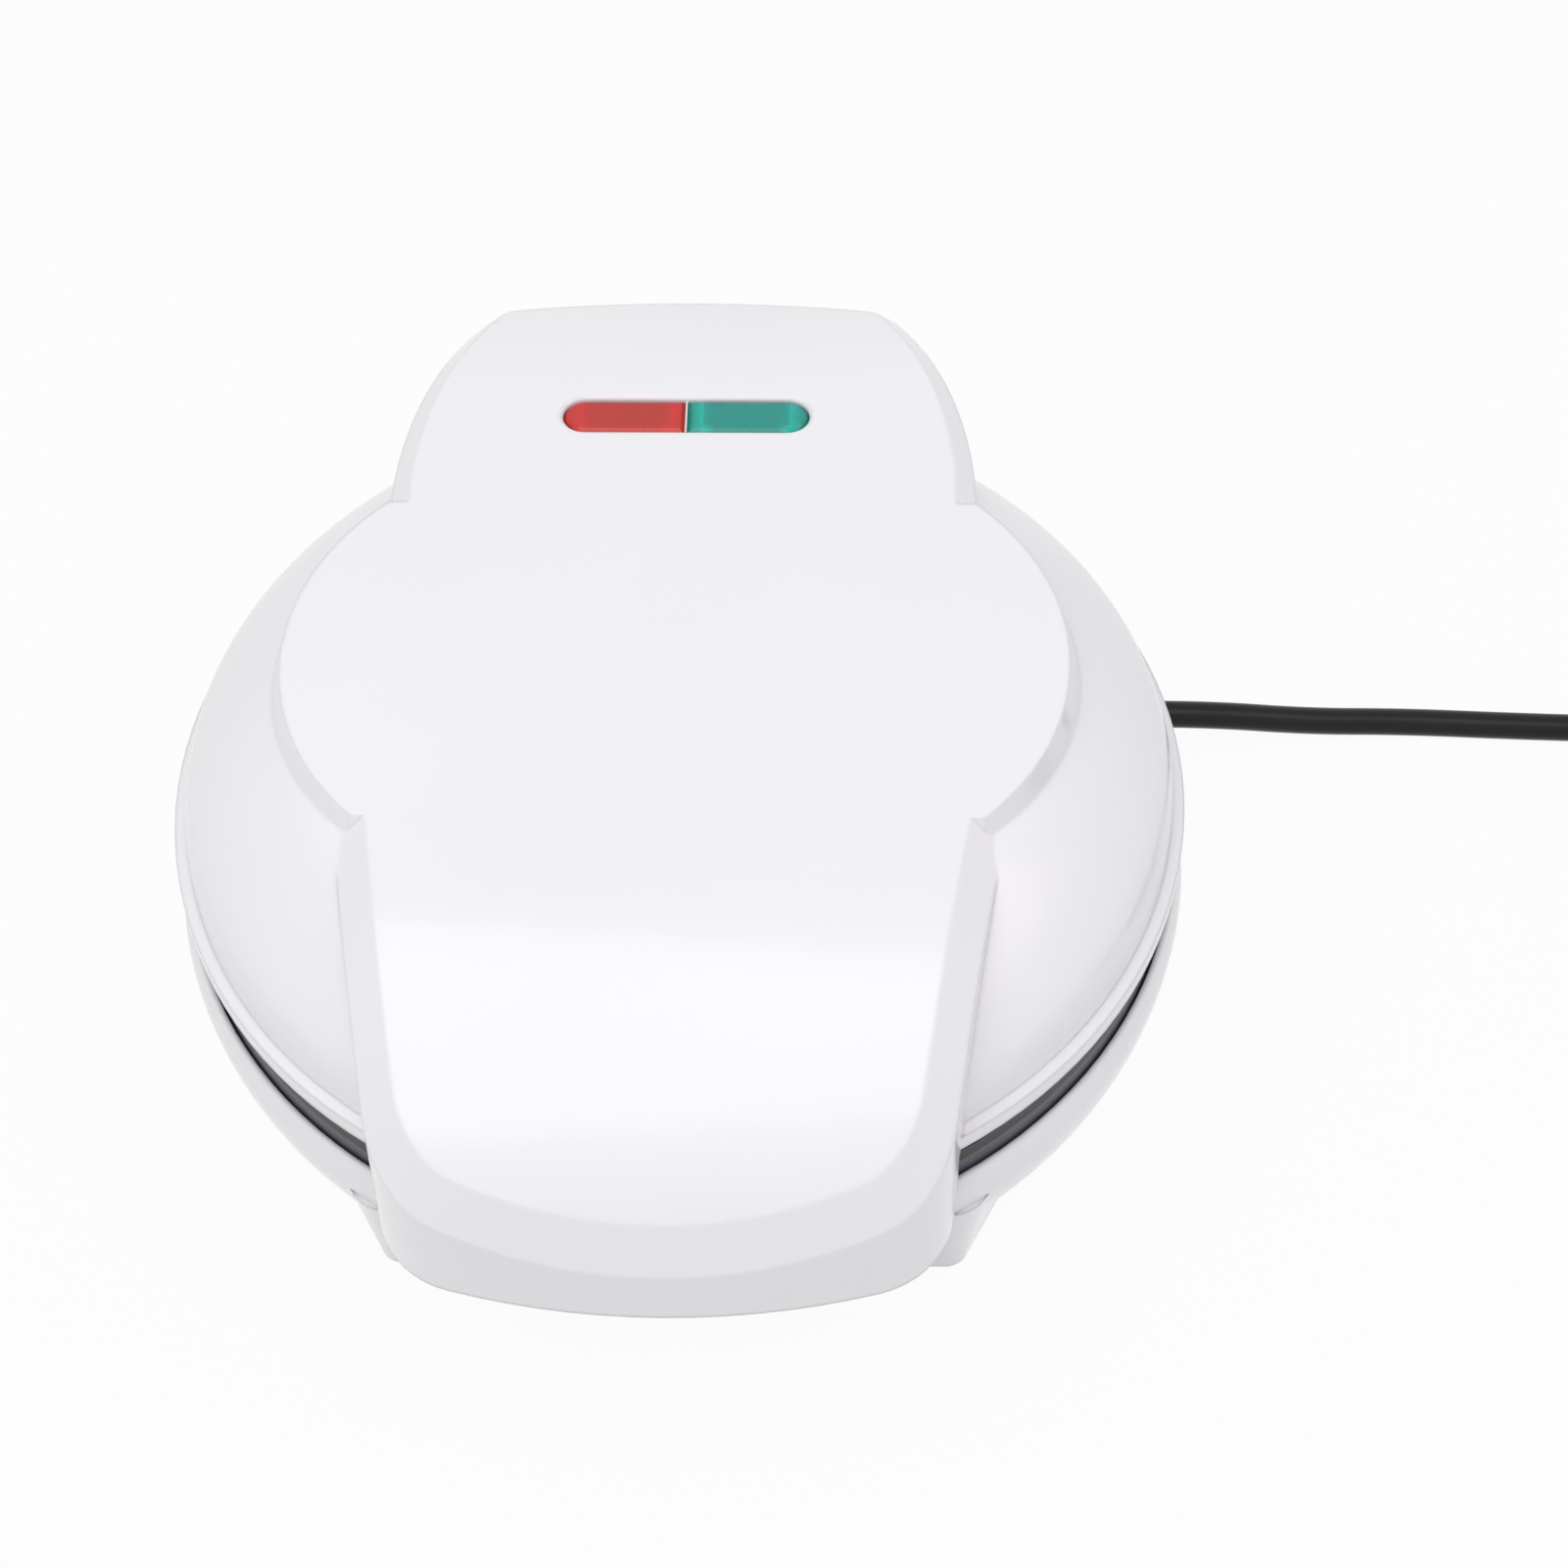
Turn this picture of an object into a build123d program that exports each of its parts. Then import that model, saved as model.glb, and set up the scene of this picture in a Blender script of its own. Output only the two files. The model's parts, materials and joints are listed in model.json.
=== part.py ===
from build123d import *

import os
from math import cos, pi, radians, sin, sqrt, tan

# Mini donut maker: a round clamshell cooker with a hinged lid, seven ring cavities and a mains lead.
# Millimetres, +Z up, +Y to the hinge at the rear, origin at the middle of the footprint on the table.

# Overall body
WALL = 2.5
REACH = 117.0            # from the middle to the front of the lid's lip, and to the back of the neck
FLOOR_Z = 2.5            # underside of the base, above the table
PARTING_Z = 44.2         # plane where the two cooking plates meet
FACE_GAP = 0.4           # air between the closed plates
RUN_GAP = 0.3            # ordinary gap between fitted pieces
SEAT_GAP = 0.1           # a piece held against its seat

# Lid: rim flange, dome, raised pad, sloping front bar and rear neck
RIM_R = 105.0
RIM_Z = 48.5
RIM_H = 4.0
DOME_R = 102.3
DOME_TURN_Z = 56.0
SHOULDER_R = 15.0
SHOULDER_TURN = 41.8
SLOPE_R = 87.0
SLOPE_TURN = 15.2
CROWN_R = 24.0
PAD_Z = 88.5
PAD_Y = 4.3
PAD_ARC_R = 58.7
PAD_ARC_X = 21.0
PAD_HALF_Y = 46.0
PAD_SKIRT = 12.0
PAD_TAPER = 16.7
BAR_BACK_Y = 0.0
BAR_SIDE_X = 72.0         # half the width at its hidden rear end
BAR_NARROWING = 0.168    # how much each side draws in per millimetre towards the front
BAR_FRONT_R = 155.0
BAR_CORNER_R = 20.0
BAR_FALL_Y = -56.0
BAR_BEND_R = 69.0
BAR_FALL = 53.0
BAR_CHAMFER = 6.6
LIP_Z = 33.5
LIP_CLEAR_R = 106.5
NECK_SIDE_X = 61.8
NECK_SIDE_Y = 47.0
NECK_BULGE = (58.0, 80.5)
NECK_CORNER = (43.8, 112.6)
NECK_CORNER_R = 8.0
NECK_FALL_Y = 80.0
NECK_FALL_R = 123.0
NECK_CHAMFER = 4.4

# Base: bowl, front block under the lip and rear block that carries the hinge
BASE_TOP_Z = 36.8
BASE_TOP_R = 104.4
BASE_R = 106.0
BASE_BELT_Z = 31.5
BASE_SHOULDER = (105.5, 34.6)
BOWL_R = 34.0
BLOCK_TOP_Z = 33.0
FRONT_TOP_Z = 28.0
FRONT_BLOCK = ((72.7, -45.0), (72.7, -66.3), (60.8, -90.0))
REAR_BLOCK = ((84.0, 30.0), (84.0, 62.0), (57.0, 101.0), (55.0, 113.0))
BLOCK_CORNER_R = 9.0
BLOCK_TAPER = 9.0

# Hinge
HINGE_Y = 109.0
HINGE_Z = 56.0
CHEEK_X = 50.2
CHEEK_T = 4.0
CHEEK_R = 7.5
CHEEK_FOOT = (101.0, 107.5)
BARREL_R = 6.5
BARREL_X = 38.0
BARREL_GAP = 0.5
PIN_R = 2.5
PIN_IN_X = 40.0
PIN_RUN = 0.06           # radial play of the pin in the lid's barrel
PIN_HOLD = 0.02          # radial play in the base's cheek

# Cooking plates with seven rings each
LOWER_PLATE_R = 103.0
UPPER_PLATE_R = 101.5
PLATE_T = 3.0
PLATE_SKIRT_T = 2.5
LOWER_SKIRT_H = 9.0
UPPER_SKIRT_H = 7.0
RING_PITCH_R = 64.0
RING_COUNT = 6
RING_R = 18.5
RING_TUBE_R = 9.5
RING_WALL = 2.0
FIX_R = 89.5             # radius of the plate's fixing screws
FIX_ANGLES = (30.0, 150.0, 210.0, 330.0)
BOSS_R = 4.5
POST_R = 8.0             # boss that the thermostat sits against
POST_H = 13.0

# Heaters, their clamps and reflector pans
HEATER_R = 64.0
HEATER_Z = 15.1          # from the parting plane to the middle of the tube
HEATER_TUBE_R = 3.3
HEATER_OPEN = 12.0       # half the opening of the ring, degrees
STUB_H = 12.0
STUB_PIN_R = 1.6
STUB_PIN_H = 5.0
STUB_HOLE_GAP = 0.6
CLAMP_ANGLES = (30.0, 150.0, 270.0)
CLAMP_IN_R = 50.0
CLAMP_OUT_R = 76.5
CLAMP_W = 9.0
CLAMP_T = 1.0
CLAMP_POST_R = 3.0
PAN_T = 0.8
PAN_FLANGE_R = 98.7
PAN_WALL_R = 96.5
PAN_FLOOR_R = 90.0
PAN_WALL_H = 14.0
PAN_H = 22.8

# Screws
M3_R = 1.5
M3_HEAD_R = 2.9
M3_HEAD_H = 1.6          # pan heads
M4_R = 2.0
M4_HEAD_R = 3.8
PLATE_SCREW_L = 14.0
CLAMP_SCREW_L = 7.0
COVER_SCREW_L = 9.0
LINER_SCREW_L = 9.0
HOLDER_SCREW_L = 7.0
RECESS_W = 0.8
PILOT_GAP = 0.02

# Liners that close the lid's front bar and rear neck from below
LINER_T = 2.0
LINER_CLEAR = 0.6        # from the upper plate's edge
LINER_BOSS_R = 3.5
HANDLE_SCREWS = ((34.0, -105.0),)
REAR_SCREWS = ((25.0, 108.5),)

# Lamps
SLOT_Y = 73.1
SLOT_L = 53.0
SLOT_W = 10.0
SLOT_BEVEL = 0.7
LENS_SINK = 0.5
LENS_SPLIT = 0.5
LENS_FLANGE = 1.8
LENS_FLANGE_T = 1.5
LENS_BEVEL = 1.1
LENS_GAP = 0.1
LAMP_R = 2.6
LAMP_L = 14.0
LAMP_X = 13.0
HOLDER_T = 1.6
HOLDER_WALL = 1.2
HOLDER_DEPTH = 10.0      # from the roof's inside to the tray's floor
HOLDER_HALF_L = 29.0
HOLDER_HALF_W = 7.2
HOLDER_EAR_X = 38.0
HOLDER_EAR_W = 8.0

# Bottom cover
COVER_R = 70.0
COVER_T = 2.0
LEDGE_IN_R = 62.0
LEDGE_T = 2.5
LEDGE_OUT_R = 76.0
COVER_SCREW_R = 66.0
COVER_SCREW_ANGLES = (45.0, 135.0, 225.0, 315.0)
COVER_BOSS_R = 3.5
COVER_BOSS_H = 10.0
VENT_W = 3.0
VENT_L = 26.0
VENT_COUNT = 5
VENT_PITCH = 9.0

# Rubber feet
FOOT_SPOTS = ((40.0, -75.0), (40.0, 98.0))
FOOT_R = 8.0
FOOT_STEM_R = 3.0
FOOT_HEAD_R = 4.5
FOOT_HEAD_T = 2.0

# Electrical pieces inside the base
THERMO_R = 8.3
THERMO_H = 12.0
THERMO_TAB = (6.3, 0.8, 5.0)
THERMO_TAB_X = 5.0
TERMINAL = (18.0, 11.0, 12.0)
TERMINAL_AT = (33.0, 57.5)
FUSE_R = 2.4
FUSE_FROM_Y = 20.0
FUSE_TO_Y = 40.0
WIRE_R = 1.2
WIRE_BEND = 5.0
LID_WIRE_R = 0.9
LID_WIRE_BEND = 2.5
LID_WIRE_X = 31.7
JOIN_GAP = 0.1           # between a wire's end and what it is joined to

# Cord, all of it lying on the table outside the boot
CORD_D = 6.2
CORD_Y = 57.2
CORD_EXIT_X = 87.0       # outer face of the flat boss round the cord's bush
CORD_BOSS_L = 11.0
CORD_EXIT_Z = 9.2
BOOT_L = 19.0
BOOT_ROOT_R = 5.4
BOOT_TIP_R = 4.1
BOOT_FLANGE_R = 6.6
BOOT_FLANGE_T = 2.0
BOOT_SHANK_R = 4.6
BOOT_INNER_L = 15.0
BOOT_GROOVES = 4
BOOT_GROOVE_W = 1.3
BOOT_GROOVE_R = 3.7
LEAD_ROUTE = (
    (106.0, 57.2, 9.2),
    (118.0, 57.2, 9.2),
    (141.0, 59.3, 4.5),
    (163.0, 60.6, 3.1),
    (189.0, 59.3, 3.1),
    (216.0, 58.5, 3.1),
    (240.0, 58.5, 3.1),
)
COIL_QUARTERS_IN = 6     # quarter turns that spiral in on the table
COIL_QUARTERS_CLIMB = 2
COIL_QUARTERS_OUT = 5    # quarter turns that spiral out on top
COIL_IN_R = 26.0
COIL_GAP = 0.7
COIL_LAYER_GAP = 0.6
PLUG_TAIL = 34.0
PLUG_L = 36.0
PLUG_W = 24.0
PLUG_BOOT_L = 14.0
PLUG_BOOT_R = 4.6
PLUG_EDGE_R = 4.0
BLADE_W = 6.3
BLADE_T = 1.5
BLADE_L = 17.0
BLADE_PITCH = 12.7

UP = (Align.CENTER, Align.CENTER, Align.MIN)
DOWN = (Align.CENTER, Align.CENTER, Align.MAX)

# Heights that several pieces share
PLATE_SEAT = FACE_GAP / 2 + PLATE_T                       # back of a plate, from the parting plane
BASE_BOSS_Z = PARTING_Z - PLATE_SEAT - SEAT_GAP
LID_BOSS_Z = PARTING_Z + PLATE_SEAT + SEAT_GAP
LEDGE_Z = FLOOR_Z + COVER_T + SEAT_GAP
ROOF_Z = PAD_Z - WALL
LINER_OUT_R = UPPER_PLATE_R + LINER_CLEAR
CLAMP_SEAT = HEATER_Z + HEATER_TUBE_R
TRAY_Z = ROOF_Z - HOLDER_DEPTH
RING_SPOTS = ((0.0, 0.0), *[(RING_PITCH_R * cos(2 * pi * i / RING_COUNT), RING_PITCH_R * sin(2 * pi * i / RING_COUNT))
                            for i in range(RING_COUNT)])
STUB_SPOTS = [(side * HEATER_R * sin(radians(HEATER_OPEN)), HEATER_R * cos(radians(HEATER_OPEN))) for side in (1, -1)]

os.makedirs("parts", exist_ok=True)


def save(builder: BuildPart, name: str) -> None:
    """Label a finished piece and write it as a STEP file."""
    builder.part.label = name
    export_step(builder.part, f"parts/{name}.step")


def both_sides(points) -> list:
    """The same points on the right (+X) and on the left (-X)."""
    return [(side * x, *rest) for x, *rest in points for side in (1, -1)]


def ring_spots(radius: float, angles) -> list:
    """Points on a circle round the middle."""
    return [(radius * cos(radians(a)), radius * sin(radians(a))) for a in angles]


def spots(points, z: float, turn: float = 0) -> list:
    """Locations at one height, turned over when the turn is 180 degrees."""
    return [Location((x, y, z), (turn, 0, 0)) for x, y in points]


def countersunk_screw(radius: float, head_r: float, length: float) -> Part:
    """A countersunk screw: its flat head is at the origin and its shank runs along +Z."""
    with BuildPart() as screw:
        Cone(head_r, radius, head_r - radius, align=UP)
        Cylinder(radius, length, align=UP)
        for turn in (0, 90):
            Box(head_r * 1.2, RECESS_W, (head_r - radius) / 2, rotation=(0, 0, turn), align=UP, mode=Mode.SUBTRACT)
    return screw.part


def pan_screw(radius: float, head_r: float, head_h: float, length: float) -> Part:
    """A pan-head screw: its head is below the origin and its shank runs along +Z."""
    with BuildPart() as screw:
        Cylinder(head_r, head_h, align=DOWN)
        fillet(screw.edges().group_by(Axis.Z)[0], head_h / 3)
        Cylinder(radius, length, align=UP)
        for turn in (0, 90):
            with Locations((0, 0, -head_h)):
                Box(head_r * 1.2, RECESS_W, head_h / 2, rotation=(0, 0, turn), align=UP, mode=Mode.SUBTRACT)
    return screw.part


def wire(points, radius: float, bend: float) -> Part:
    """A round insulated wire along straight runs with rounded corners."""
    with BuildPart() as lead:
        with BuildLine():
            if len(points) > 2:
                path = FilletPolyline(*points, radius=bend)
            else:
                path = Line(*points)
        with BuildSketch(Plane(origin=path @ 0, z_dir=path % 0)):
            Circle(radius)
        sweep()
    return lead.part


def shrunk_chamfer(size: float, inset: float) -> float:
    """A chamfer on a square edge, seen from a parallel skin a wall further in."""
    return size - (2 - sqrt(2)) * inset


# Lid shell


def dome_form(inset: float) -> Part:
    """The lid's round dome, with all its walls set in by the inset."""
    with BuildPart() as dome:
        with BuildSketch(Plane.XZ):
            with BuildLine():
                wall = Line((DOME_R - inset, RIM_Z), (DOME_R - inset, DOME_TURN_Z))
                shoulder = JernArc(wall @ 1, wall % 1, SHOULDER_R - inset, SHOULDER_TURN)
                slope = JernArc(shoulder @ 1, shoulder % 1, SLOPE_R - inset, SLOPE_TURN)
                crown = JernArc(slope @ 1, slope % 1, CROWN_R - inset, 90 - SHOULDER_TURN - SLOPE_TURN)
                top = Line(crown @ 1, (0, (crown @ 1).Y))
                middle = Line(top @ 1, (0, RIM_Z))
                Line(middle @ 1, wall @ 0)
            make_face()
        revolve(axis=Axis.Z)
    return dome.part


def pad_form(inset: float) -> Part:
    """The wide middle of the raised pad: two round flanks with drafted walls."""
    foot_grow = PAD_SKIRT * tan(radians(PAD_TAPER))
    half_y = PAD_HALF_Y
    with BuildPart() as pad:
        with BuildSketch(Plane.XY.offset(PAD_Z - PAD_SKIRT - inset)):
            radius = PAD_ARC_R + foot_grow - inset
            half_x = PAD_ARC_X + sqrt(radius**2 - half_y**2)
            with BuildLine():
                for side in (1, -1):
                    ThreePointArc(
                        (side * half_x, PAD_Y - half_y),
                        (side * (PAD_ARC_X + radius), PAD_Y),
                        (side * half_x, PAD_Y + half_y),
                    )
                    Line((-half_x, PAD_Y + side * half_y), (half_x, PAD_Y + side * half_y))
            make_face()
        extrude(amount=PAD_SKIRT, taper=PAD_TAPER)
    return pad.part


def crest_edges(builder: BuildPart) -> ShapeList:
    """Edges between the upward faces and the walls, but not the straight ones across the body."""
    upward = builder.faces().filter_by(lambda f: f.normal_at().Z > 0.5)
    edges = ShapeList()
    for face in upward:
        for edge in face.edges():
            across = edge.geom_type == GeomType.LINE and abs((edge % 0.5).X) > 0.99
            if not across:
                edges.append(edge)
    return edges


def bar_outline(inset: float) -> Sketch:
    """Plan of the front bar, drawing in towards a shallow round front."""
    centre_y = BAR_FRONT_R - REACH
    # where the straight side meets the front arc
    corner_y = -REACH
    corner_x = BAR_SIDE_X
    for _ in range(8):
        corner_x = BAR_SIDE_X - BAR_NARROWING * (BAR_BACK_Y - corner_y)
        corner_y = centre_y - sqrt(BAR_FRONT_R**2 - corner_x**2)
    with BuildSketch() as plan:
        with BuildLine():
            Line((-BAR_SIDE_X, BAR_BACK_Y), (BAR_SIDE_X, BAR_BACK_Y))
            for side in (1, -1):
                Line((side * BAR_SIDE_X, BAR_BACK_Y), (side * corner_x, corner_y))
            ThreePointArc((corner_x, corner_y), (0, -REACH), (-corner_x, corner_y))
        make_face()
        fillet(plan.vertices().group_by(Axis.Y)[0], BAR_CORNER_R)
        if inset:
            offset(amount=-inset, mode=Mode.REPLACE)
    return plan.sketch


def bar_form(inset: float, bottom: float) -> Part:
    """The front bar: its top runs level, bends down and slopes to the front, with a chamfered crest."""
    with BuildPart() as bar:
        with BuildSketch(Plane.XY.offset(bottom)):
            add(bar_outline(inset))
        extrude(amount=PAD_Z - bottom)
        with BuildSketch(Plane.YZ):
            with BuildLine():
                level = Line((REACH, PAD_Z - inset), (BAR_FALL_Y, PAD_Z - inset))
                bend = JernArc(level @ 1, level % 1, BAR_BEND_R - inset, BAR_FALL)
                slope = PolarLine(bend @ 1, WALL * 5, direction=bend % 1)
                front = Line(slope @ 1, ((slope @ 1).X, bottom))
                under = Line(front @ 1, (REACH, bottom))
                Line(under @ 1, level @ 0)
            make_face()
        extrude(amount=REACH, both=True, mode=Mode.INTERSECT)
        chamfer(crest_edges(bar), shrunk_chamfer(BAR_CHAMFER, inset))
    return bar.part


NECK_BACK = ThreePointArc((-NECK_CORNER[0], NECK_CORNER[1]), (0, REACH), NECK_CORNER)
NECK_SIDE = ThreePointArc(NECK_CORNER, NECK_BULGE, (NECK_SIDE_X, NECK_SIDE_Y))


def neck_outline(inset: float) -> Sketch:
    """Plan of the rear neck: what three large circles share, one for the back and one for each side."""
    with BuildSketch() as plan:
        with Locations(NECK_BACK.arc_center):
            Circle(NECK_BACK.radius - inset)
        for side in (1, -1):
            with Locations((side * NECK_SIDE.arc_center.X, NECK_SIDE.arc_center.Y)):
                Circle(NECK_SIDE.radius - inset, mode=Mode.INTERSECT)
        with Locations((0, REACH)):
            Rectangle(4 * REACH, 2 * REACH, mode=Mode.INTERSECT)
        fillet(plan.vertices().group_by(Axis.Y)[-1], NECK_CORNER_R - inset)
    return plan.sketch


def neck_form(inset: float, bottom: float) -> Part:
    """The rear neck: level by the lamps, then falling a little to the back, with a chamfered crest."""
    with BuildPart() as neck:
        with BuildSketch(Plane.XY.offset(bottom)):
            add(neck_outline(inset))
        extrude(amount=PAD_Z - bottom)
        with BuildSketch(Plane.YZ):
            with BuildLine():
                level = Line((-1, PAD_Z - inset), (NECK_FALL_Y, PAD_Z - inset))
                fall = JernArc(level @ 1, level % 1, NECK_FALL_R - inset, -25)
                back = Line(fall @ 1, ((fall @ 1).X, bottom))
                under = Line(back @ 1, (-1, bottom))
                Line(under @ 1, level @ 0)
            make_face()
        extrude(amount=REACH, both=True, mode=Mode.INTERSECT)
        chamfer(crest_edges(neck), shrunk_chamfer(NECK_CHAMFER, inset))
    return neck.part


with BuildPart() as lid_bosses:
    with Locations(*spots(ring_spots(FIX_R, FIX_ANGLES), LID_BOSS_Z)):
        Cylinder(BOSS_R, DOME_R, align=UP)
    add(dome_form(WALL / 2), mode=Mode.INTERSECT)

with BuildPart() as handle_bosses:
    with Locations(*spots(both_sides(HANDLE_SCREWS), RIM_Z + LINER_T + SEAT_GAP)):
        Cylinder(LINER_BOSS_R, PAD_Z, align=UP)
    add(bar_form(WALL / 2, LIP_Z), mode=Mode.INTERSECT)

with BuildPart() as rear_bosses:
    with Locations(*spots(both_sides(REAR_SCREWS), RIM_Z + LINER_T + SEAT_GAP)):
        Cylinder(LINER_BOSS_R, PAD_Z, align=UP)
    add(neck_form(WALL / 2, RIM_Z), mode=Mode.INTERSECT)

with BuildPart() as lid_shell:
    add(dome_form(0))
    add(pad_form(0))
    add(neck_form(0, RIM_Z))
    add(bar_form(0, LIP_Z))
    with Locations((0, 0, LIP_Z)):
        Cylinder(LIP_CLEAR_R, RIM_Z - LIP_Z, align=(Align.CENTER, Align.CENTER, Align.MIN), mode=Mode.SUBTRACT)
    with Locations((0, 0, RIM_Z)):
        Cylinder(RIM_R, RIM_H, align=(Align.CENTER, Align.CENTER, Align.MIN))
    # one wall thick all over, open below
    add(dome_form(WALL), mode=Mode.SUBTRACT)
    add(pad_form(WALL), mode=Mode.SUBTRACT)
    add(neck_form(WALL, RIM_Z - 1), mode=Mode.SUBTRACT)
    add(bar_form(WALL, LIP_Z - 1), mode=Mode.SUBTRACT)
    # rebate that takes the upper plate's rim
    with Locations((0, 0, RIM_Z)):
        Cylinder(
            UPPER_PLATE_R + 0.5,
            PARTING_Z + FACE_GAP / 2 + UPPER_SKIRT_H + SEAT_GAP - RIM_Z,
            align=(Align.CENTER, Align.CENTER, Align.MIN),
            mode=Mode.SUBTRACT,
        )
    # bosses for the plate, the liners and the lamp tray
    add(lid_bosses.part)
    add(handle_bosses.part)
    add(rear_bosses.part)
    with Locations(*spots(((HOLDER_EAR_X, SLOT_Y), (-HOLDER_EAR_X, SLOT_Y)), TRAY_Z + SEAT_GAP)):
        Cylinder(LINER_BOSS_R, HOLDER_DEPTH + WALL / 2, align=UP)
    # hinge barrels through the neck's side walls
    for side in (1, -1):
        with Locations((side * (BARREL_X + CHEEK_X - BARREL_GAP) / 2, HINGE_Y, HINGE_Z)):
            Cylinder(BARREL_R, CHEEK_X - BARREL_GAP - BARREL_X, rotation=(0, 90, 0))
            Cylinder(PIN_R + PIN_RUN, CHEEK_X - BARREL_X, rotation=(0, 90, 0), mode=Mode.SUBTRACT)
    # pilot holes, seen from below
    with Locations(*spots(ring_spots(FIX_R, FIX_ANGLES), LID_BOSS_Z, 180)):
        Hole(M4_R + PILOT_GAP, PLATE_SCREW_L)
    with Locations(*spots(both_sides([*HANDLE_SCREWS, *REAR_SCREWS]), RIM_Z + LINER_T, 180)):
        Hole(M3_R + PILOT_GAP, LINER_SCREW_L)
    with Locations(*spots(((HOLDER_EAR_X, SLOT_Y), (-HOLDER_EAR_X, SLOT_Y)), TRAY_Z, 180)):
        Hole(M3_R + PILOT_GAP, HOLDER_SCREW_L)
    # slot for the lenses, bevelled all round
    with BuildSketch(Plane.XY.offset(PAD_Z)):
        with Locations((0, SLOT_Y)):
            SlotOverall(SLOT_L, SLOT_W)
    extrude(amount=-WALL * 2, mode=Mode.SUBTRACT)
    with BuildSketch(Plane.XY.offset(PAD_Z)):
        with Locations((0, SLOT_Y)):
            SlotOverall(SLOT_L + 2 * SLOT_BEVEL, SLOT_W + 2 * SLOT_BEVEL)
    extrude(amount=-SLOT_BEVEL, taper=45, mode=Mode.SUBTRACT)

save(lid_shell, "lid_shell")

with BuildPart() as handle_liner:
    add(bar_form(WALL + RUN_GAP, LIP_Z))
    with Locations((0, 0, RIM_Z)):
        Box(4 * REACH, 4 * REACH, LINER_T, align=UP, mode=Mode.INTERSECT)
        Cylinder(LINER_OUT_R, LINER_T, align=UP, mode=Mode.SUBTRACT)
    with Locations(*spots(both_sides(HANDLE_SCREWS), RIM_Z, 180)):
        CounterSinkHole(M3_R + SEAT_GAP, M3_HEAD_R + SEAT_GAP, 2 * LINER_T, 90)

save(handle_liner, "handle_liner")

with BuildPart() as hinge_cover:
    with BuildSketch(Plane.XY.offset(RIM_Z)):
        add(neck_outline(WALL + RUN_GAP))
        Circle(LINER_OUT_R, mode=Mode.SUBTRACT)
    extrude(amount=LINER_T)
    for side in (1, -1):
        with Locations((side * (BARREL_X + CHEEK_X) / 2, HINGE_Y, HINGE_Z)):
            Cylinder(
                BARREL_R + RUN_GAP,
                CHEEK_X - BARREL_X + 2 * RUN_GAP,
                rotation=(0, 90, 0),
                mode=Mode.SUBTRACT,
            )
    with Locations(*spots(both_sides(REAR_SCREWS), RIM_Z, 180)):
        CounterSinkHole(M3_R + SEAT_GAP, M3_HEAD_R + SEAT_GAP, 2 * LINER_T, 90)

save(hinge_cover, "hinge_cover")

with BuildPart() as liner_screws:
    with Locations(*spots(both_sides([*HANDLE_SCREWS, *REAR_SCREWS]), RIM_Z)):
        add(countersunk_screw(M3_R, M3_HEAD_R, LINER_SCREW_L))

save(liner_screws, "liner_screws")

# Indicator lenses, lamps and their tray


def lens_form(side: int) -> Part:
    """One half of the split lens, with a bevelled top and a flange below the roof."""
    top = PAD_Z - LENS_SINK
    flange_z = ROOF_Z - SEAT_GAP - LENS_FLANGE_T
    with BuildPart() as lens:
        for grow, low, high in ((-LENS_GAP, flange_z, top), (LENS_FLANGE, flange_z, flange_z + LENS_FLANGE_T)):
            with BuildSketch(Plane.XY.offset(low)):
                with Locations((0, SLOT_Y)):
                    SlotOverall(SLOT_L + 2 * grow, SLOT_W + 2 * grow)
                with Locations((side * (LENS_SPLIT / 2 + SLOT_L), SLOT_Y)):
                    Rectangle(2 * SLOT_L, 2 * SLOT_W, mode=Mode.INTERSECT)
            extrude(amount=high - low)
        chamfer(lens.faces().sort_by(Axis.Z)[-1].edges(), LENS_BEVEL)
    return lens.part


with BuildPart() as red_lens:
    add(lens_form(-1))

save(red_lens, "red_lens")

with BuildPart() as green_lens:
    add(lens_form(1))

save(green_lens, "green_lens")

with BuildPart() as lamp_holder:
    tray_top = ROOF_Z - SEAT_GAP - LENS_FLANGE_T - SEAT_GAP
    with Locations((0, SLOT_Y, TRAY_Z)):
        Box(2 * HOLDER_HALF_L, 2 * HOLDER_HALF_W, HOLDER_T, align=DOWN)
        Box(2 * (HOLDER_EAR_X + HOLDER_EAR_W / 2), HOLDER_EAR_W, HOLDER_T, align=DOWN)
    for side in (1, -1):
        with Locations((0, SLOT_Y + side * (HOLDER_HALF_W - HOLDER_WALL / 2), TRAY_Z)):
            Box(2 * HOLDER_HALF_L, HOLDER_WALL, tray_top - TRAY_Z, align=UP)
    with Locations((0, SLOT_Y, TRAY_Z)):
        Box(HOLDER_WALL, 2 * HOLDER_HALF_W, tray_top - TRAY_Z, align=UP)
    with Locations(*spots(((HOLDER_EAR_X, SLOT_Y), (-HOLDER_EAR_X, SLOT_Y)), TRAY_Z)):
        Hole(M3_R + SEAT_GAP, HOLDER_T)

save(lamp_holder, "lamp_holder")

with BuildPart() as lamp_holder_screws:
    with Locations(*spots(((HOLDER_EAR_X, SLOT_Y), (-HOLDER_EAR_X, SLOT_Y)), TRAY_Z - HOLDER_T - SEAT_GAP)):
        add(pan_screw(M3_R, M3_HEAD_R, M3_HEAD_H, HOLDER_SCREW_L))

save(lamp_holder_screws, "lamp_holder_screws")

lamp_z = TRAY_Z + SEAT_GAP + LAMP_R
with BuildPart() as neon_lamps:
    with Locations((LAMP_X, SLOT_Y, lamp_z), (-LAMP_X, SLOT_Y, lamp_z)):
        Cylinder(LAMP_R, LAMP_L, rotation=(0, 90, 0))
    fillet(neon_lamps.edges(), LAMP_R / 4)

save(neon_lamps, "neon_lamps")

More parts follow.
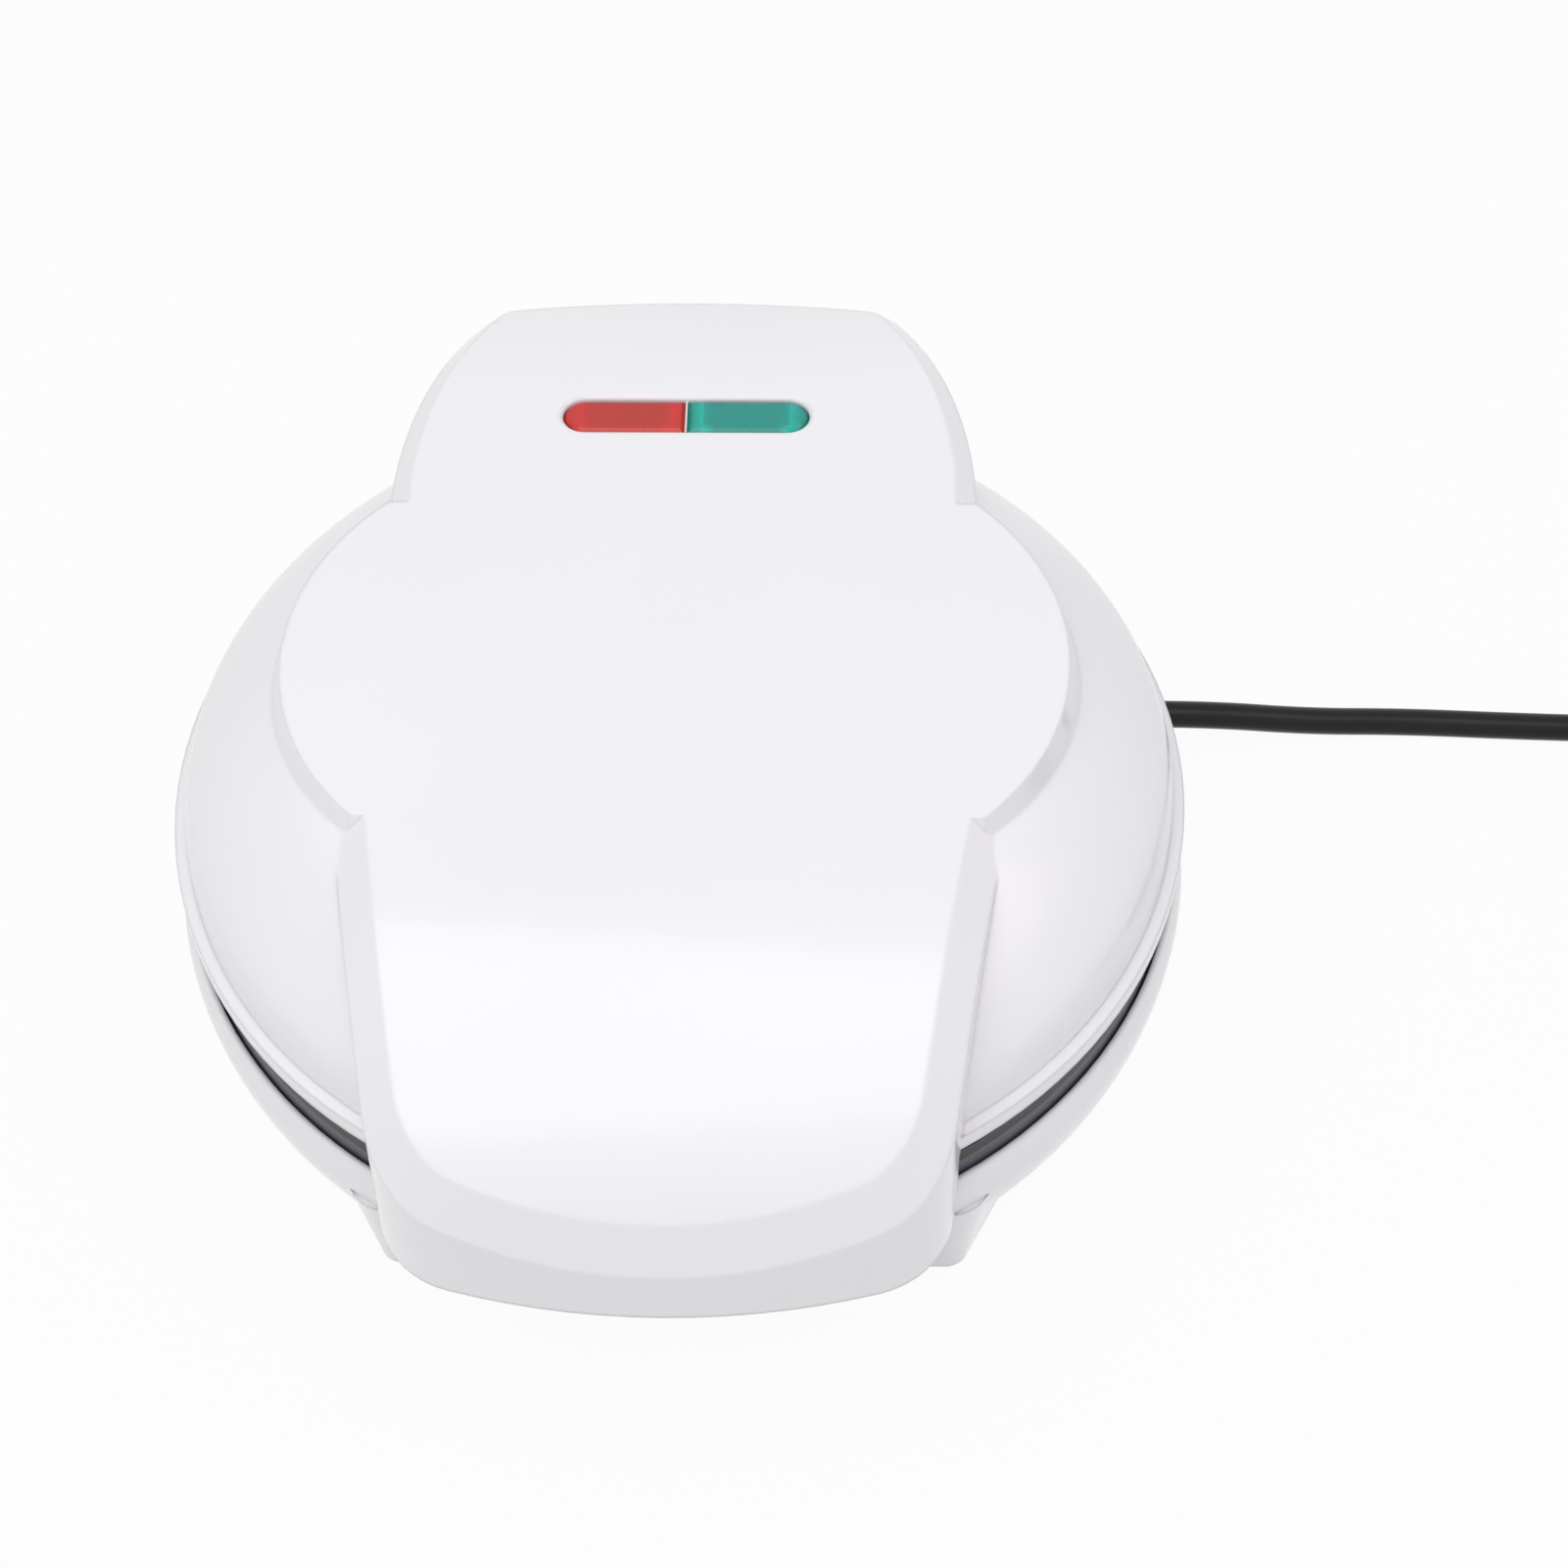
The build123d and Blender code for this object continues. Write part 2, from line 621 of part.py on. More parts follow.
with BuildPart() as lid_leads:
    for side, (stub_x, stub_y) in zip((1, -1), STUB_SPOTS):
        add(
            wire(
                (
                    (side * (LAMP_X + LAMP_L / 2 + JOIN_GAP), SLOT_Y, lamp_z),
                    (side * LID_WIRE_X, SLOT_Y, lamp_z),
                    (side * LID_WIRE_X, stub_y, lamp_z),
                    (stub_x + side * (STUB_PIN_R + 4 * JOIN_GAP), stub_y, PARTING_Z + HEATER_Z + STUB_H + STUB_PIN_H / 2),
                ),
                LID_WIRE_R,
                LID_WIRE_BEND,
            )
        )

save(lid_leads, "lid_leads")

# Base shell


def bowl_form(inset: float, top: float) -> Part:
    """The round bowl with its skin set in by the inset; only the outer skin leans in at the top."""
    with BuildPart() as bowl:
        with BuildSketch(Plane.XZ):
            with BuildLine():
                belt = (BASE_R - inset, BASE_BELT_Z)
                lower = JernArc(belt, (0, -1), BOWL_R - inset, -45)
                turn_r = ((lower @ 1).Y - FLOOR_Z - inset) / (1 - cos(radians(45)))
                bottom = JernArc(lower @ 1, lower % 1, turn_r, -45)
                if inset:
                    rim = Line(belt, (BASE_R - inset, top))
                else:
                    rim = Polyline(belt, BASE_SHOULDER, (BASE_TOP_R, top))
                Polyline(rim @ 1, (0, top), (0, FLOOR_Z + inset), bottom @ 1)
            make_face()
        revolve(axis=Axis.Z)
    return bowl.part


def block_form(half_outline, top: float, inset: float) -> Part:
    """A block beside the bowl, drawing in towards the floor, with its skin set in by the inset."""
    draft = radians(BLOCK_TAPER)
    corners = [*half_outline, *[(-x, y) for x, y in reversed(half_outline)]]
    with BuildPart() as block:
        with BuildSketch(Plane.XY.offset(top - inset)) as plan:
            with BuildLine():
                Polyline(*corners, close=True)
            make_face()
            inner_y = abs(half_outline[0][1])
            fillet(plan.vertices().filter_by(lambda v: abs(v.Y) > inner_y + 0.1), BLOCK_CORNER_R)
            if inset:
                offset(amount=-inset * (tan(draft) + 1 / cos(draft)), mode=Mode.REPLACE)
        extrude(amount=-(top - FLOOR_Z - 2 * inset), taper=BLOCK_TAPER)
    return block.part


with BuildPart() as base_bosses:
    with Locations(*spots(ring_spots(FIX_R, FIX_ANGLES), FLOOR_Z)):
        Cylinder(BOSS_R, BASE_BOSS_Z - FLOOR_Z, align=UP)
    add(bowl_form(WALL / 2, BASE_BOSS_Z + 1), mode=Mode.INTERSECT)

with BuildPart() as base_shell:
    add(bowl_form(0, BASE_TOP_Z))
    add(block_form(FRONT_BLOCK, FRONT_TOP_Z, 0))
    add(block_form(REAR_BLOCK, BLOCK_TOP_Z, 0))
    with Locations((CORD_EXIT_X - CORD_BOSS_L / 2, CORD_Y, CORD_EXIT_Z)):
        Cylinder(BOOT_FLANGE_R, CORD_BOSS_L, rotation=(0, 90, 0))
    # one wall thick all over, open above
    add(bowl_form(WALL, BASE_TOP_Z), mode=Mode.SUBTRACT)
    add(block_form(FRONT_BLOCK, FRONT_TOP_Z, WALL), mode=Mode.SUBTRACT)
    add(block_form(REAR_BLOCK, BLOCK_TOP_Z, WALL), mode=Mode.SUBTRACT)
    # ledge that takes the bottom cover
    with Locations((0, 0, FLOOR_Z)):
        Cylinder(LEDGE_OUT_R, LEDGE_Z + LEDGE_T - FLOOR_Z, align=UP)
        Cylinder(COVER_R + RUN_GAP, LEDGE_Z - FLOOR_Z, align=UP, mode=Mode.SUBTRACT)
        Cylinder(LEDGE_IN_R, LEDGE_Z + LEDGE_T - FLOOR_Z, align=UP, mode=Mode.SUBTRACT)
    with Locations(*spots(ring_spots(COVER_SCREW_R, COVER_SCREW_ANGLES), LEDGE_Z)):
        Cylinder(COVER_BOSS_R, COVER_BOSS_H, align=UP)
    with Locations(*spots(ring_spots(COVER_SCREW_R, COVER_SCREW_ANGLES), LEDGE_Z, 180)):
        Hole(M3_R + PILOT_GAP, COVER_SCREW_L)
    # bosses that carry the lower plate
    add(base_bosses.part)
    with Locations(*spots(ring_spots(FIX_R, FIX_ANGLES), BASE_BOSS_Z)):
        Hole(M4_R + PILOT_GAP, PLATE_SCREW_L)
    # hinge cheeks
    for x in (CHEEK_X, -CHEEK_X - CHEEK_T):
        with BuildSketch(Plane.YZ.offset(x)):
            with BuildLine():
                Polyline(
                    (CHEEK_FOOT[0], BLOCK_TOP_Z - WALL / 2),
                    (CHEEK_FOOT[1], BLOCK_TOP_Z - WALL / 2),
                    (HINGE_Y + CHEEK_R, HINGE_Z),
                    (HINGE_Y - CHEEK_R, HINGE_Z),
                    close=True,
                )
            make_face()
            with Locations((HINGE_Y, HINGE_Z)):
                Circle(CHEEK_R)
                Circle(PIN_R + PIN_HOLD, mode=Mode.SUBTRACT)
        extrude(amount=CHEEK_T)
    # holes for the feet and the cord's bush
    with Locations(*spots(both_sides(FOOT_SPOTS), FLOOR_Z, 180)):
        Hole(FOOT_STEM_R + SEAT_GAP, WALL)
    with Locations((CORD_EXIT_X, CORD_Y, CORD_EXIT_Z)):
        Cylinder(
            BOOT_SHANK_R + SEAT_GAP,
            2 * BOOT_INNER_L + 1,
            rotation=(0, 90, 0),
            mode=Mode.SUBTRACT,
        )

save(base_shell, "base_shell")

with BuildPart() as hinge_pins:
    pin_length = CHEEK_X + CHEEK_T - PIN_IN_X
    for side in (1, -1):
        with Locations((side * (PIN_IN_X + pin_length / 2), HINGE_Y, HINGE_Z)):
            Cylinder(PIN_R, pin_length, rotation=(0, 90, 0))
    chamfer(hinge_pins.edges().filter_by(GeomType.CIRCLE), PIN_R / 6)

save(hinge_pins, "hinge_pins")

with BuildPart() as bottom_cover:
    with Locations((0, 0, FLOOR_Z)):
        Cylinder(COVER_R, COVER_T, align=UP)
    with BuildSketch(Plane.XY.offset(FLOOR_Z)):
        with GridLocations(VENT_PITCH, 0, VENT_COUNT, 1):
            SlotOverall(VENT_L, VENT_W, rotation=90)
    extrude(amount=COVER_T, mode=Mode.SUBTRACT)
    with Locations(*spots(ring_spots(COVER_SCREW_R, COVER_SCREW_ANGLES), FLOOR_Z, 180)):
        CounterSinkHole(M3_R + SEAT_GAP, M3_HEAD_R + SEAT_GAP, COVER_T, 90)

save(bottom_cover, "bottom_cover")

with BuildPart() as bottom_cover_screws:
    with Locations(*spots(ring_spots(COVER_SCREW_R, COVER_SCREW_ANGLES), FLOOR_Z)):
        add(countersunk_screw(M3_R, M3_HEAD_R, COVER_SCREW_L))

save(bottom_cover_screws, "bottom_cover_screws")

with BuildPart() as rubber_feet:
    with Locations(*spots(both_sides(FOOT_SPOTS), 0)):
        Cylinder(FOOT_R, FLOOR_Z - SEAT_GAP, align=UP)
    fillet(rubber_feet.edges().group_by(Axis.Z)[0], FLOOR_Z / 4)
    with Locations(*spots(both_sides(FOOT_SPOTS), FLOOR_Z - SEAT_GAP)):
        Cylinder(FOOT_STEM_R, WALL + 2 * SEAT_GAP, align=UP)
    with Locations(*spots(both_sides(FOOT_SPOTS), FLOOR_Z + WALL + SEAT_GAP)):
        Cylinder(FOOT_HEAD_R, FOOT_HEAD_T, align=UP)

save(rubber_feet, "rubber_feet")

# Cooking plates, heaters, clamps and heat shields, drawn above a parting plane at z = 0


def plate_form(radius: float, skirt_h: float, post: bool) -> Part:
    """A cooking plate with a skirt, its ring cavities pressed in from the parting side, and its posts."""
    face = FACE_GAP / 2
    with BuildPart() as plate:
        with Locations((0, 0, face)):
            Cylinder(radius, skirt_h, align=UP)
        with Locations((0, 0, PLATE_SEAT)):
            Cylinder(radius - PLATE_SKIRT_T, skirt_h, align=UP, mode=Mode.SUBTRACT)
        with Locations(*spots(RING_SPOTS, face)):
            Torus(RING_R, RING_TUBE_R + RING_WALL)
        with Locations((0, 0, face)):
            Cylinder(radius, RING_TUBE_R + 2 * RING_WALL, align=DOWN, mode=Mode.SUBTRACT)
        with Locations(*spots(RING_SPOTS, face)):
            Torus(RING_R, RING_TUBE_R, mode=Mode.SUBTRACT)
        clamp_spots = [*ring_spots(CLAMP_IN_R, CLAMP_ANGLES), *ring_spots(CLAMP_OUT_R, CLAMP_ANGLES)]
        with Locations(*spots(clamp_spots, PLATE_SEAT - RING_WALL)):
            Cylinder(CLAMP_POST_R, CLAMP_SEAT - PLATE_SEAT + RING_WALL, align=UP)
        with Locations(*spots(clamp_spots, CLAMP_SEAT)):
            Hole(M3_R + PILOT_GAP, CLAMP_SCREW_L)
        if post:
            with Locations((0, 0, face + RING_WALL)):
                Cylinder(POST_R, POST_H - RING_WALL, align=UP)
        with Locations(*spots(ring_spots(FIX_R, FIX_ANGLES), face, 180)):
            CounterSinkHole(M4_R + SEAT_GAP, M4_HEAD_R + SEAT_GAP, PLATE_T, 90)
    return plate.part


def heater_form() -> Part:
    """An open ring of tubular heater with both ends turned away from the plate."""
    with BuildPart() as heater:
        with Locations(Location((0, 0, HEATER_Z), (0, 0, 90 + HEATER_OPEN))):
            Torus(HEATER_R, HEATER_TUBE_R, major_angle=360 - 2 * HEATER_OPEN)
        with Locations(*spots(STUB_SPOTS, HEATER_Z)):
            Sphere(HEATER_TUBE_R)
            Cylinder(HEATER_TUBE_R, STUB_H, align=UP)
            Cylinder(STUB_PIN_R, STUB_H + STUB_PIN_H, align=UP)
    return heater.part


def clamp_form() -> Part:
    """Straps across the heater, each on two posts."""
    with BuildPart() as clamps:
        middle = (CLAMP_IN_R + CLAMP_OUT_R) / 2
        for angle, (x, y) in zip(CLAMP_ANGLES, ring_spots(middle, CLAMP_ANGLES)):
            with Locations(Location((x, y, CLAMP_SEAT + SEAT_GAP), (0, 0, angle))):
                Box(CLAMP_OUT_R - CLAMP_IN_R + CLAMP_W, CLAMP_W, CLAMP_T, align=UP)
        clamp_spots = [*ring_spots(CLAMP_IN_R, CLAMP_ANGLES), *ring_spots(CLAMP_OUT_R, CLAMP_ANGLES)]
        with Locations(*spots(clamp_spots, CLAMP_SEAT + SEAT_GAP + CLAMP_T)):
            Hole(M3_R + SEAT_GAP, CLAMP_T)
        fillet(clamps.edges().filter_by(Axis.Z).filter_by(GeomType.LINE), CLAMP_W / 3)
    return clamps.part


def pan_form(middle_r: float) -> Part:
    """A heat shield of sheet metal behind the plate, with holes for bosses, heater ends and thermostat."""
    seat = PLATE_SEAT + SEAT_GAP
    with BuildPart() as pan:
        with BuildSketch(Plane.XZ):
            with BuildLine():
                Polyline(
                    (0, PAN_H),
                    (PAN_FLOOR_R, PAN_H),
                    (PAN_WALL_R, PAN_WALL_H),
                    (PAN_WALL_R, seat + PAN_T),
                    (PAN_FLANGE_R, seat + PAN_T),
                    (PAN_FLANGE_R, seat),
                    (PAN_WALL_R - PAN_T, seat),
                    (PAN_WALL_R - PAN_T, PAN_WALL_H - PAN_T / 3),
                    (PAN_FLOOR_R - PAN_T / 2, PAN_H - PAN_T),
                    (0, PAN_H - PAN_T),
                    close=True,
                )
            make_face()
        revolve(axis=Axis.Z)
        with Locations(*spots(ring_spots(FIX_R, FIX_ANGLES), PAN_H)):
            Hole(BOSS_R + STUB_HOLE_GAP, PAN_H)
        with Locations(*spots(STUB_SPOTS, PAN_H)):
            Hole(HEATER_TUBE_R + STUB_HOLE_GAP, PAN_T)
        if middle_r:
            with Locations((0, 0, PAN_H)):
                Hole(middle_r, PAN_T)
    return pan.part


CLAMP_SPOTS = [*ring_spots(CLAMP_IN_R, CLAMP_ANGLES), *ring_spots(CLAMP_OUT_R, CLAMP_ANGLES)]
clamp_back = CLAMP_SEAT + 2 * SEAT_GAP + CLAMP_T
clamp_screw = pan_screw(M3_R, M3_HEAD_R, M3_HEAD_H, CLAMP_SCREW_L)
plate_screw = countersunk_screw(M4_R, M4_HEAD_R, PLATE_SCREW_L)

with BuildPart() as upper_plate:
    with Locations((0, 0, PARTING_Z)):
        add(plate_form(UPPER_PLATE_R, UPPER_SKIRT_H, False))

save(upper_plate, "upper_plate")

with BuildPart() as upper_plate_screws:
    with Locations(*spots(ring_spots(FIX_R, FIX_ANGLES), PARTING_Z + FACE_GAP / 2)):
        add(plate_screw)

save(upper_plate_screws, "upper_plate_screws")

with BuildPart() as upper_heater:
    with Locations((0, 0, PARTING_Z)):
        add(heater_form())

save(upper_heater, "upper_heater")

with BuildPart() as upper_heater_clamps:
    with Locations((0, 0, PARTING_Z)):
        add(clamp_form())

save(upper_heater_clamps, "upper_heater_clamps")

with BuildPart() as upper_clamp_screws:
    with Locations(*spots(CLAMP_SPOTS, PARTING_Z + clamp_back, 180)):
        add(clamp_screw)

save(upper_clamp_screws, "upper_clamp_screws")

with BuildPart() as upper_heat_shield:
    with Locations((0, 0, PARTING_Z)):
        add(pan_form(0))

save(upper_heat_shield, "upper_heat_shield")

with BuildPart() as lower_plate:
    with Locations((0, 0, PARTING_Z)):
        add(plate_form(LOWER_PLATE_R, LOWER_SKIRT_H, True).mirror(Plane.XY))

save(lower_plate, "lower_plate")

with BuildPart() as lower_plate_screws:
    with Locations(*spots(ring_spots(FIX_R, FIX_ANGLES), PARTING_Z - FACE_GAP / 2, 180)):
        add(plate_screw)

save(lower_plate_screws, "lower_plate_screws")

with BuildPart() as lower_heater:
    with Locations((0, 0, PARTING_Z)):
        add(heater_form().mirror(Plane.XY))

save(lower_heater, "lower_heater")

with BuildPart() as lower_heater_clamps:
    with Locations((0, 0, PARTING_Z)):
        add(clamp_form().mirror(Plane.XY))

save(lower_heater_clamps, "lower_heater_clamps")

with BuildPart() as lower_clamp_screws:
    with Locations(*spots(CLAMP_SPOTS, PARTING_Z - clamp_back)):
        add(clamp_screw)

save(lower_clamp_screws, "lower_clamp_screws")

with BuildPart() as lower_heat_shield:
    with Locations((0, 0, PARTING_Z)):
        add(pan_form(THERMO_R + STUB_HOLE_GAP).mirror(Plane.XY))

save(lower_heat_shield, "lower_heat_shield")

# Electrical pieces inside the base

thermo_top = PARTING_Z - FACE_GAP / 2 - POST_H - SEAT_GAP
tab_z = thermo_top - THERMO_H - THERMO_TAB[2] / 2
with BuildPart() as thermostat:
    with Locations((0, 0, thermo_top)):
        Cylinder(THERMO_R, THERMO_H, align=DOWN)
    fillet(thermostat.edges().group_by(Axis.Z)[0], 1)
    with Locations((THERMO_TAB_X, 0, tab_z), (-THERMO_TAB_X, 0, tab_z)):
        Box(*THERMO_TAB)

save(thermostat, "thermostat")

terminal_z = LEDGE_Z + LEDGE_T + SEAT_GAP
with BuildPart() as terminal_block:
    with Locations((*TERMINAL_AT, terminal_z)):
        Box(*TERMINAL, align=UP)
    chamfer(terminal_block.edges().group_by(Axis.Z)[-1], 1)

save(terminal_block, "terminal_block")

with BuildPart() as thermal_fuse:
    with Locations((THERMO_TAB_X, (FUSE_FROM_Y + FUSE_TO_Y) / 2, tab_z)):
        Cylinder(FUSE_R, FUSE_TO_Y - FUSE_FROM_Y, rotation=(90, 0, 0))

save(thermal_fuse, "thermal_fuse")

with BuildPart() as base_leads:
    block_x = TERMINAL_AT[0] + TERMINAL[0] / 2 + JOIN_GAP
    block_in_x = TERMINAL_AT[0] - TERMINAL[0] / 2 - JOIN_GAP
    tab_side = THERMO_TAB[1] / 2 + JOIN_GAP
    pin_side = STUB_PIN_R + JOIN_GAP
    pin_z = PARTING_Z - HEATER_Z - STUB_H - STUB_PIN_H / 2
    wire_y = TERMINAL_AT[1] - TERMINAL[1] / 2 + WIRE_R + 1
    for shift in (-1, 1):
        y = CORD_Y + shift * 1.5 * WIRE_R
        add(wire(((CORD_EXIT_X - BOOT_INNER_L - JOIN_GAP, y, CORD_EXIT_Z), (block_x, y, CORD_EXIT_Z)), WIRE_R, 0))
    add(
        wire(
            (
                (block_in_x, wire_y, tab_z),
                (THERMO_TAB_X, wire_y, tab_z),
                (THERMO_TAB_X, FUSE_TO_Y + JOIN_GAP, tab_z),
            ),
            WIRE_R,
            WIRE_BEND,
        )
    )
    add(wire(((THERMO_TAB_X, FUSE_FROM_Y - JOIN_GAP, tab_z), (THERMO_TAB_X, tab_side, tab_z)), WIRE_R, 0))
    add(
        wire(
            (
                (-THERMO_TAB_X, tab_side, tab_z),
                (-THERMO_TAB_X, 40.0, tab_z),
                (STUB_SPOTS[1][0], 50.0, pin_z),
                (STUB_SPOTS[1][0], STUB_SPOTS[1][1] - pin_side, pin_z),
            ),
            WIRE_R,
            WIRE_BEND,
        )
    )
    add(
        wire(
            (
                (STUB_SPOTS[0][0] + pin_side, TERMINAL_AT[1] + TERMINAL[1] / 2 - WIRE_R, pin_z),
                (block_in_x, TERMINAL_AT[1] + TERMINAL[1] / 2 - WIRE_R, pin_z),
            ),
            WIRE_R,
            0,
        )
    )

save(base_leads, "base_leads")

# Mains cord: bush, free run, coil and plug

with BuildPart() as strain_relief:
    with Locations((CORD_EXIT_X - BOOT_INNER_L, CORD_Y, CORD_EXIT_Z)):
        Cylinder(BOOT_SHANK_R, BOOT_INNER_L + BOOT_FLANGE_T, rotation=(0, 90, 0), align=UP)
    with Locations((CORD_EXIT_X + SEAT_GAP, CORD_Y, CORD_EXIT_Z)):
        Cylinder(BOOT_FLANGE_R, BOOT_FLANGE_T, rotation=(0, 90, 0), align=UP)
        Cone(BOOT_ROOT_R, BOOT_TIP_R, BOOT_L - SEAT_GAP, rotation=(0, 90, 0), align=UP)
    pitch = (BOOT_L - BOOT_FLANGE_T) / (BOOT_GROOVES + 1)
    with Locations(
        *[(CORD_EXIT_X + BOOT_FLANGE_T + pitch * (i + 1), CORD_Y, CORD_EXIT_Z) for i in range(BOOT_GROOVES)]
    ):
        Cylinder(BOOT_FLANGE_R, BOOT_GROOVE_W, rotation=(0, 90, 0), mode=Mode.SUBTRACT)
    with Locations((CORD_EXIT_X, CORD_Y, CORD_EXIT_Z)):
        Cylinder(BOOT_GROOVE_R, BOOT_L, rotation=(0, 90, 0), align=UP)

save(strain_relief, "strain_relief")

route = [Vector(*point) for point in LEAD_ROUTE]
bend_radii = []
for before, corner, after in zip(route, route[1:], route[2:]):
    run_in = corner - before
    run_out = after - corner
    half_turn = radians(run_in.get_angle(run_out)) / 2
    bend_radii.append(0.45 * min(run_in.length, run_out.length) / tan(half_turn))
print("cord bend radii", [round(r) for r in bend_radii])

with BuildPart() as cord_lead:
    with BuildLine():
        lead_path = FilletPolyline(*route, radius=bend_radii)
    with BuildSketch(Plane(origin=lead_path @ 0, z_dir=lead_path % 0)):
        Circle(CORD_D / 2)
    sweep()
print("lead volume", round(cord_lead.part.volume), "section times length", round(pi * CORD_D**2 / 4 * lead_path.length))

save(cord_lead, "cord_lead")

# The coil spirals in on the table, climbs where it turns back, and spirals out on top
coil_quarters = COIL_QUARTERS_IN + COIL_QUARTERS_CLIMB + COIL_QUARTERS_OUT
coil_middle = COIL_QUARTERS_IN + COIL_QUARTERS_CLIMB / 2
coil_step = (CORD_D + COIL_GAP) / 4
coil_rise = CORD_D + COIL_LAYER_GAP
coil_start = route[-1] + Vector(CORD_D, 0, 0)
coil_centre = coil_start - Vector(0, COIL_IN_R + coil_step * coil_middle, 0)


def coil_point(quarters: float) -> Vector:
    """The coil's middle line after so many quarter turns, clockwise from above."""
    radius = COIL_IN_R + coil_step * abs(quarters - coil_middle)
    climb = min(1.0, max(0.0, (quarters - COIL_QUARTERS_IN) / COIL_QUARTERS_CLIMB))
    height = coil_rise * (1 - cos(pi * climb)) / 2
    angle = pi / 2 - quarters * pi / 2
    return coil_centre + Vector(radius * cos(angle), radius * sin(angle), height)


def coil_heading(quarters: float) -> Vector:
    """The direction of the middle line; the first and the last lie square to the straight ends."""
    if quarters == 0:
        return Vector(1, 0, 0)
    if quarters == coil_quarters:
        return Vector(0, -1, 0)
    return (coil_point(quarters + 0.01) - coil_point(quarters - 0.01)).normalized()


def biarc(p0: Vector, t0: Vector, p1: Vector, t1: Vector) -> None:
    """Two tangent arcs from p0 to p1 that leave along t0 and arrive along t1."""
    v = p1 - p0
    a = 2 * (t0.dot(t1) - 1)
    b = -2 * v.dot(t0 + t1)
    c = v.dot(v)
    d = (-b - sqrt(b * b - 4 * a * c)) / (2 * a) if abs(a) > 1e-9 else -c / b
    meet = (p0 + t0 * d + p1 - t1 * d) / 2
    first = TangentArc(p0, meet, tangent=t0)
    TangentArc(meet, p1, tangent=first % 1)


with BuildPart() as cord_coil:
    with BuildLine() as coil_line:
        Line(route[-1], coil_start)
        for i in range(coil_quarters):
            biarc(coil_point(i), coil_heading(i), coil_point(i + 1), coil_heading(i + 1))
        tail_start = coil_point(coil_quarters)
        tail_end = tail_start - Vector(0, PLUG_TAIL, 0)
        Line(tail_start, tail_end)
    with BuildSketch(Plane(origin=route[-1], z_dir=(1, 0, 0))):
        Circle(CORD_D / 2)
    sweep()
coil_wire = coil_line.wires()[0]
print("coil volume", round(cord_coil.part.volume), "section times length", round(pi * CORD_D**2 / 4 * coil_wire.length))
marks = [coil_wire @ (i / 1200) for i in range(1201)]
spacing = coil_wire.length / 1200
apart = int(3 * CORD_D / spacing)
least = min((marks[i] - marks[j]).length for i in range(1201) for j in range(i + apart, 1201)) - CORD_D
print("coil least gap", round(least, 2), "cord length", round(coil_wire.length + lead_path.length))

save(cord_coil, "cord_coil")

plug_back = tail_end.Y - PLUG_BOOT_L
plug_face = tail_end.Y - PLUG_L
with BuildPart() as plug_body:
    with Locations((tail_end.X, (plug_back + plug_face) / 2, tail_end.Z)):
        Box(PLUG_W, plug_back - plug_face, 2 * tail_end.Z)
    fillet(plug_body.edges().filter_by(Axis.Y), PLUG_EDGE_R)
    fillet(plug_body.faces().sort_by(Axis.Y)[-1].edges(), PLUG_EDGE_R / 2)
    with Locations((tail_end.X, tail_end.Y, tail_end.Z)):
        Cylinder(PLUG_BOOT_R, PLUG_BOOT_L + PLUG_EDGE_R, rotation=(90, 0, 0), align=UP)

save(plug_body, "plug_body")

with BuildPart() as plug_blades:
    with Locations(
        (tail_end.X - BLADE_PITCH / 2, plug_face - BLADE_L / 2 - JOIN_GAP, tail_end.Z),
        (tail_end.X + BLADE_PITCH / 2, plug_face - BLADE_L / 2 - JOIN_GAP, tail_end.Z),
    ):
        Box(BLADE_T, BLADE_L, BLADE_W)
    chamfer(plug_blades.faces().sort_by(Axis.Y)[0].edges(), BLADE_T / 4)

save(plug_blades, "plug_blades")
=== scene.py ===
"""Mini donut maker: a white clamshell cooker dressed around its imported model.

Everything is in metres in the model's own frame: +Z up, +Y to the hinge, the table at z = 0.
"""

import json
import logging
from dataclasses import dataclass, field
from enum import Enum
from math import cos, pi, radians

import bpy
import numpy as np
from mathutils import Matrix, Vector


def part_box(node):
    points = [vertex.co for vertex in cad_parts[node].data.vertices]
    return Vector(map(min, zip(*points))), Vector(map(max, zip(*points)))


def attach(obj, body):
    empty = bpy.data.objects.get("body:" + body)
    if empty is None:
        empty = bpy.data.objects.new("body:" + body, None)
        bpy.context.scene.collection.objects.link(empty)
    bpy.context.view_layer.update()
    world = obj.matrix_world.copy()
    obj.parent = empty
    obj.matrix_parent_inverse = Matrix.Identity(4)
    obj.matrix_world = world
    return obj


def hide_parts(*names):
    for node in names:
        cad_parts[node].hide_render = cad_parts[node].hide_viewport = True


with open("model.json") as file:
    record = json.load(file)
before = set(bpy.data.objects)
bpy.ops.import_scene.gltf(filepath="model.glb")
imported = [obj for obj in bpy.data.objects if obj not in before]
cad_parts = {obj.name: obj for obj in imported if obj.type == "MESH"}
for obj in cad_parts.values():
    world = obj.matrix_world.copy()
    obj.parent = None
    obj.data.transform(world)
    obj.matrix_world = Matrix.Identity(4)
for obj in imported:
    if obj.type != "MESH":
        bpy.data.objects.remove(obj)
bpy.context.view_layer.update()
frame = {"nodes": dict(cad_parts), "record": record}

MM = 0.001
PHOTO_PIXELS = 1601
# points nearer than this, in metres, are one point
WELD = 1e-6
# keeps a division by a length of nought apart from an error
TINY = 1e-18
# the middle value of a noise texture
MIDDLE = 0.5
BEVEL_SAMPLES = 6
# the colour sockets of a Mix node: factor, first, second, and the result
MIX_FACTOR, MIX_FIRST, MIX_SECOND, MIX_RESULT = 0, 6, 7, 2
# turns in degrees above which an edge stays sharp
SOFT_SPLIT = 28.0
LENS_SPLIT = 20.0
CREASE_SPLIT = 14.0

log = logging.getLogger("donut_maker")


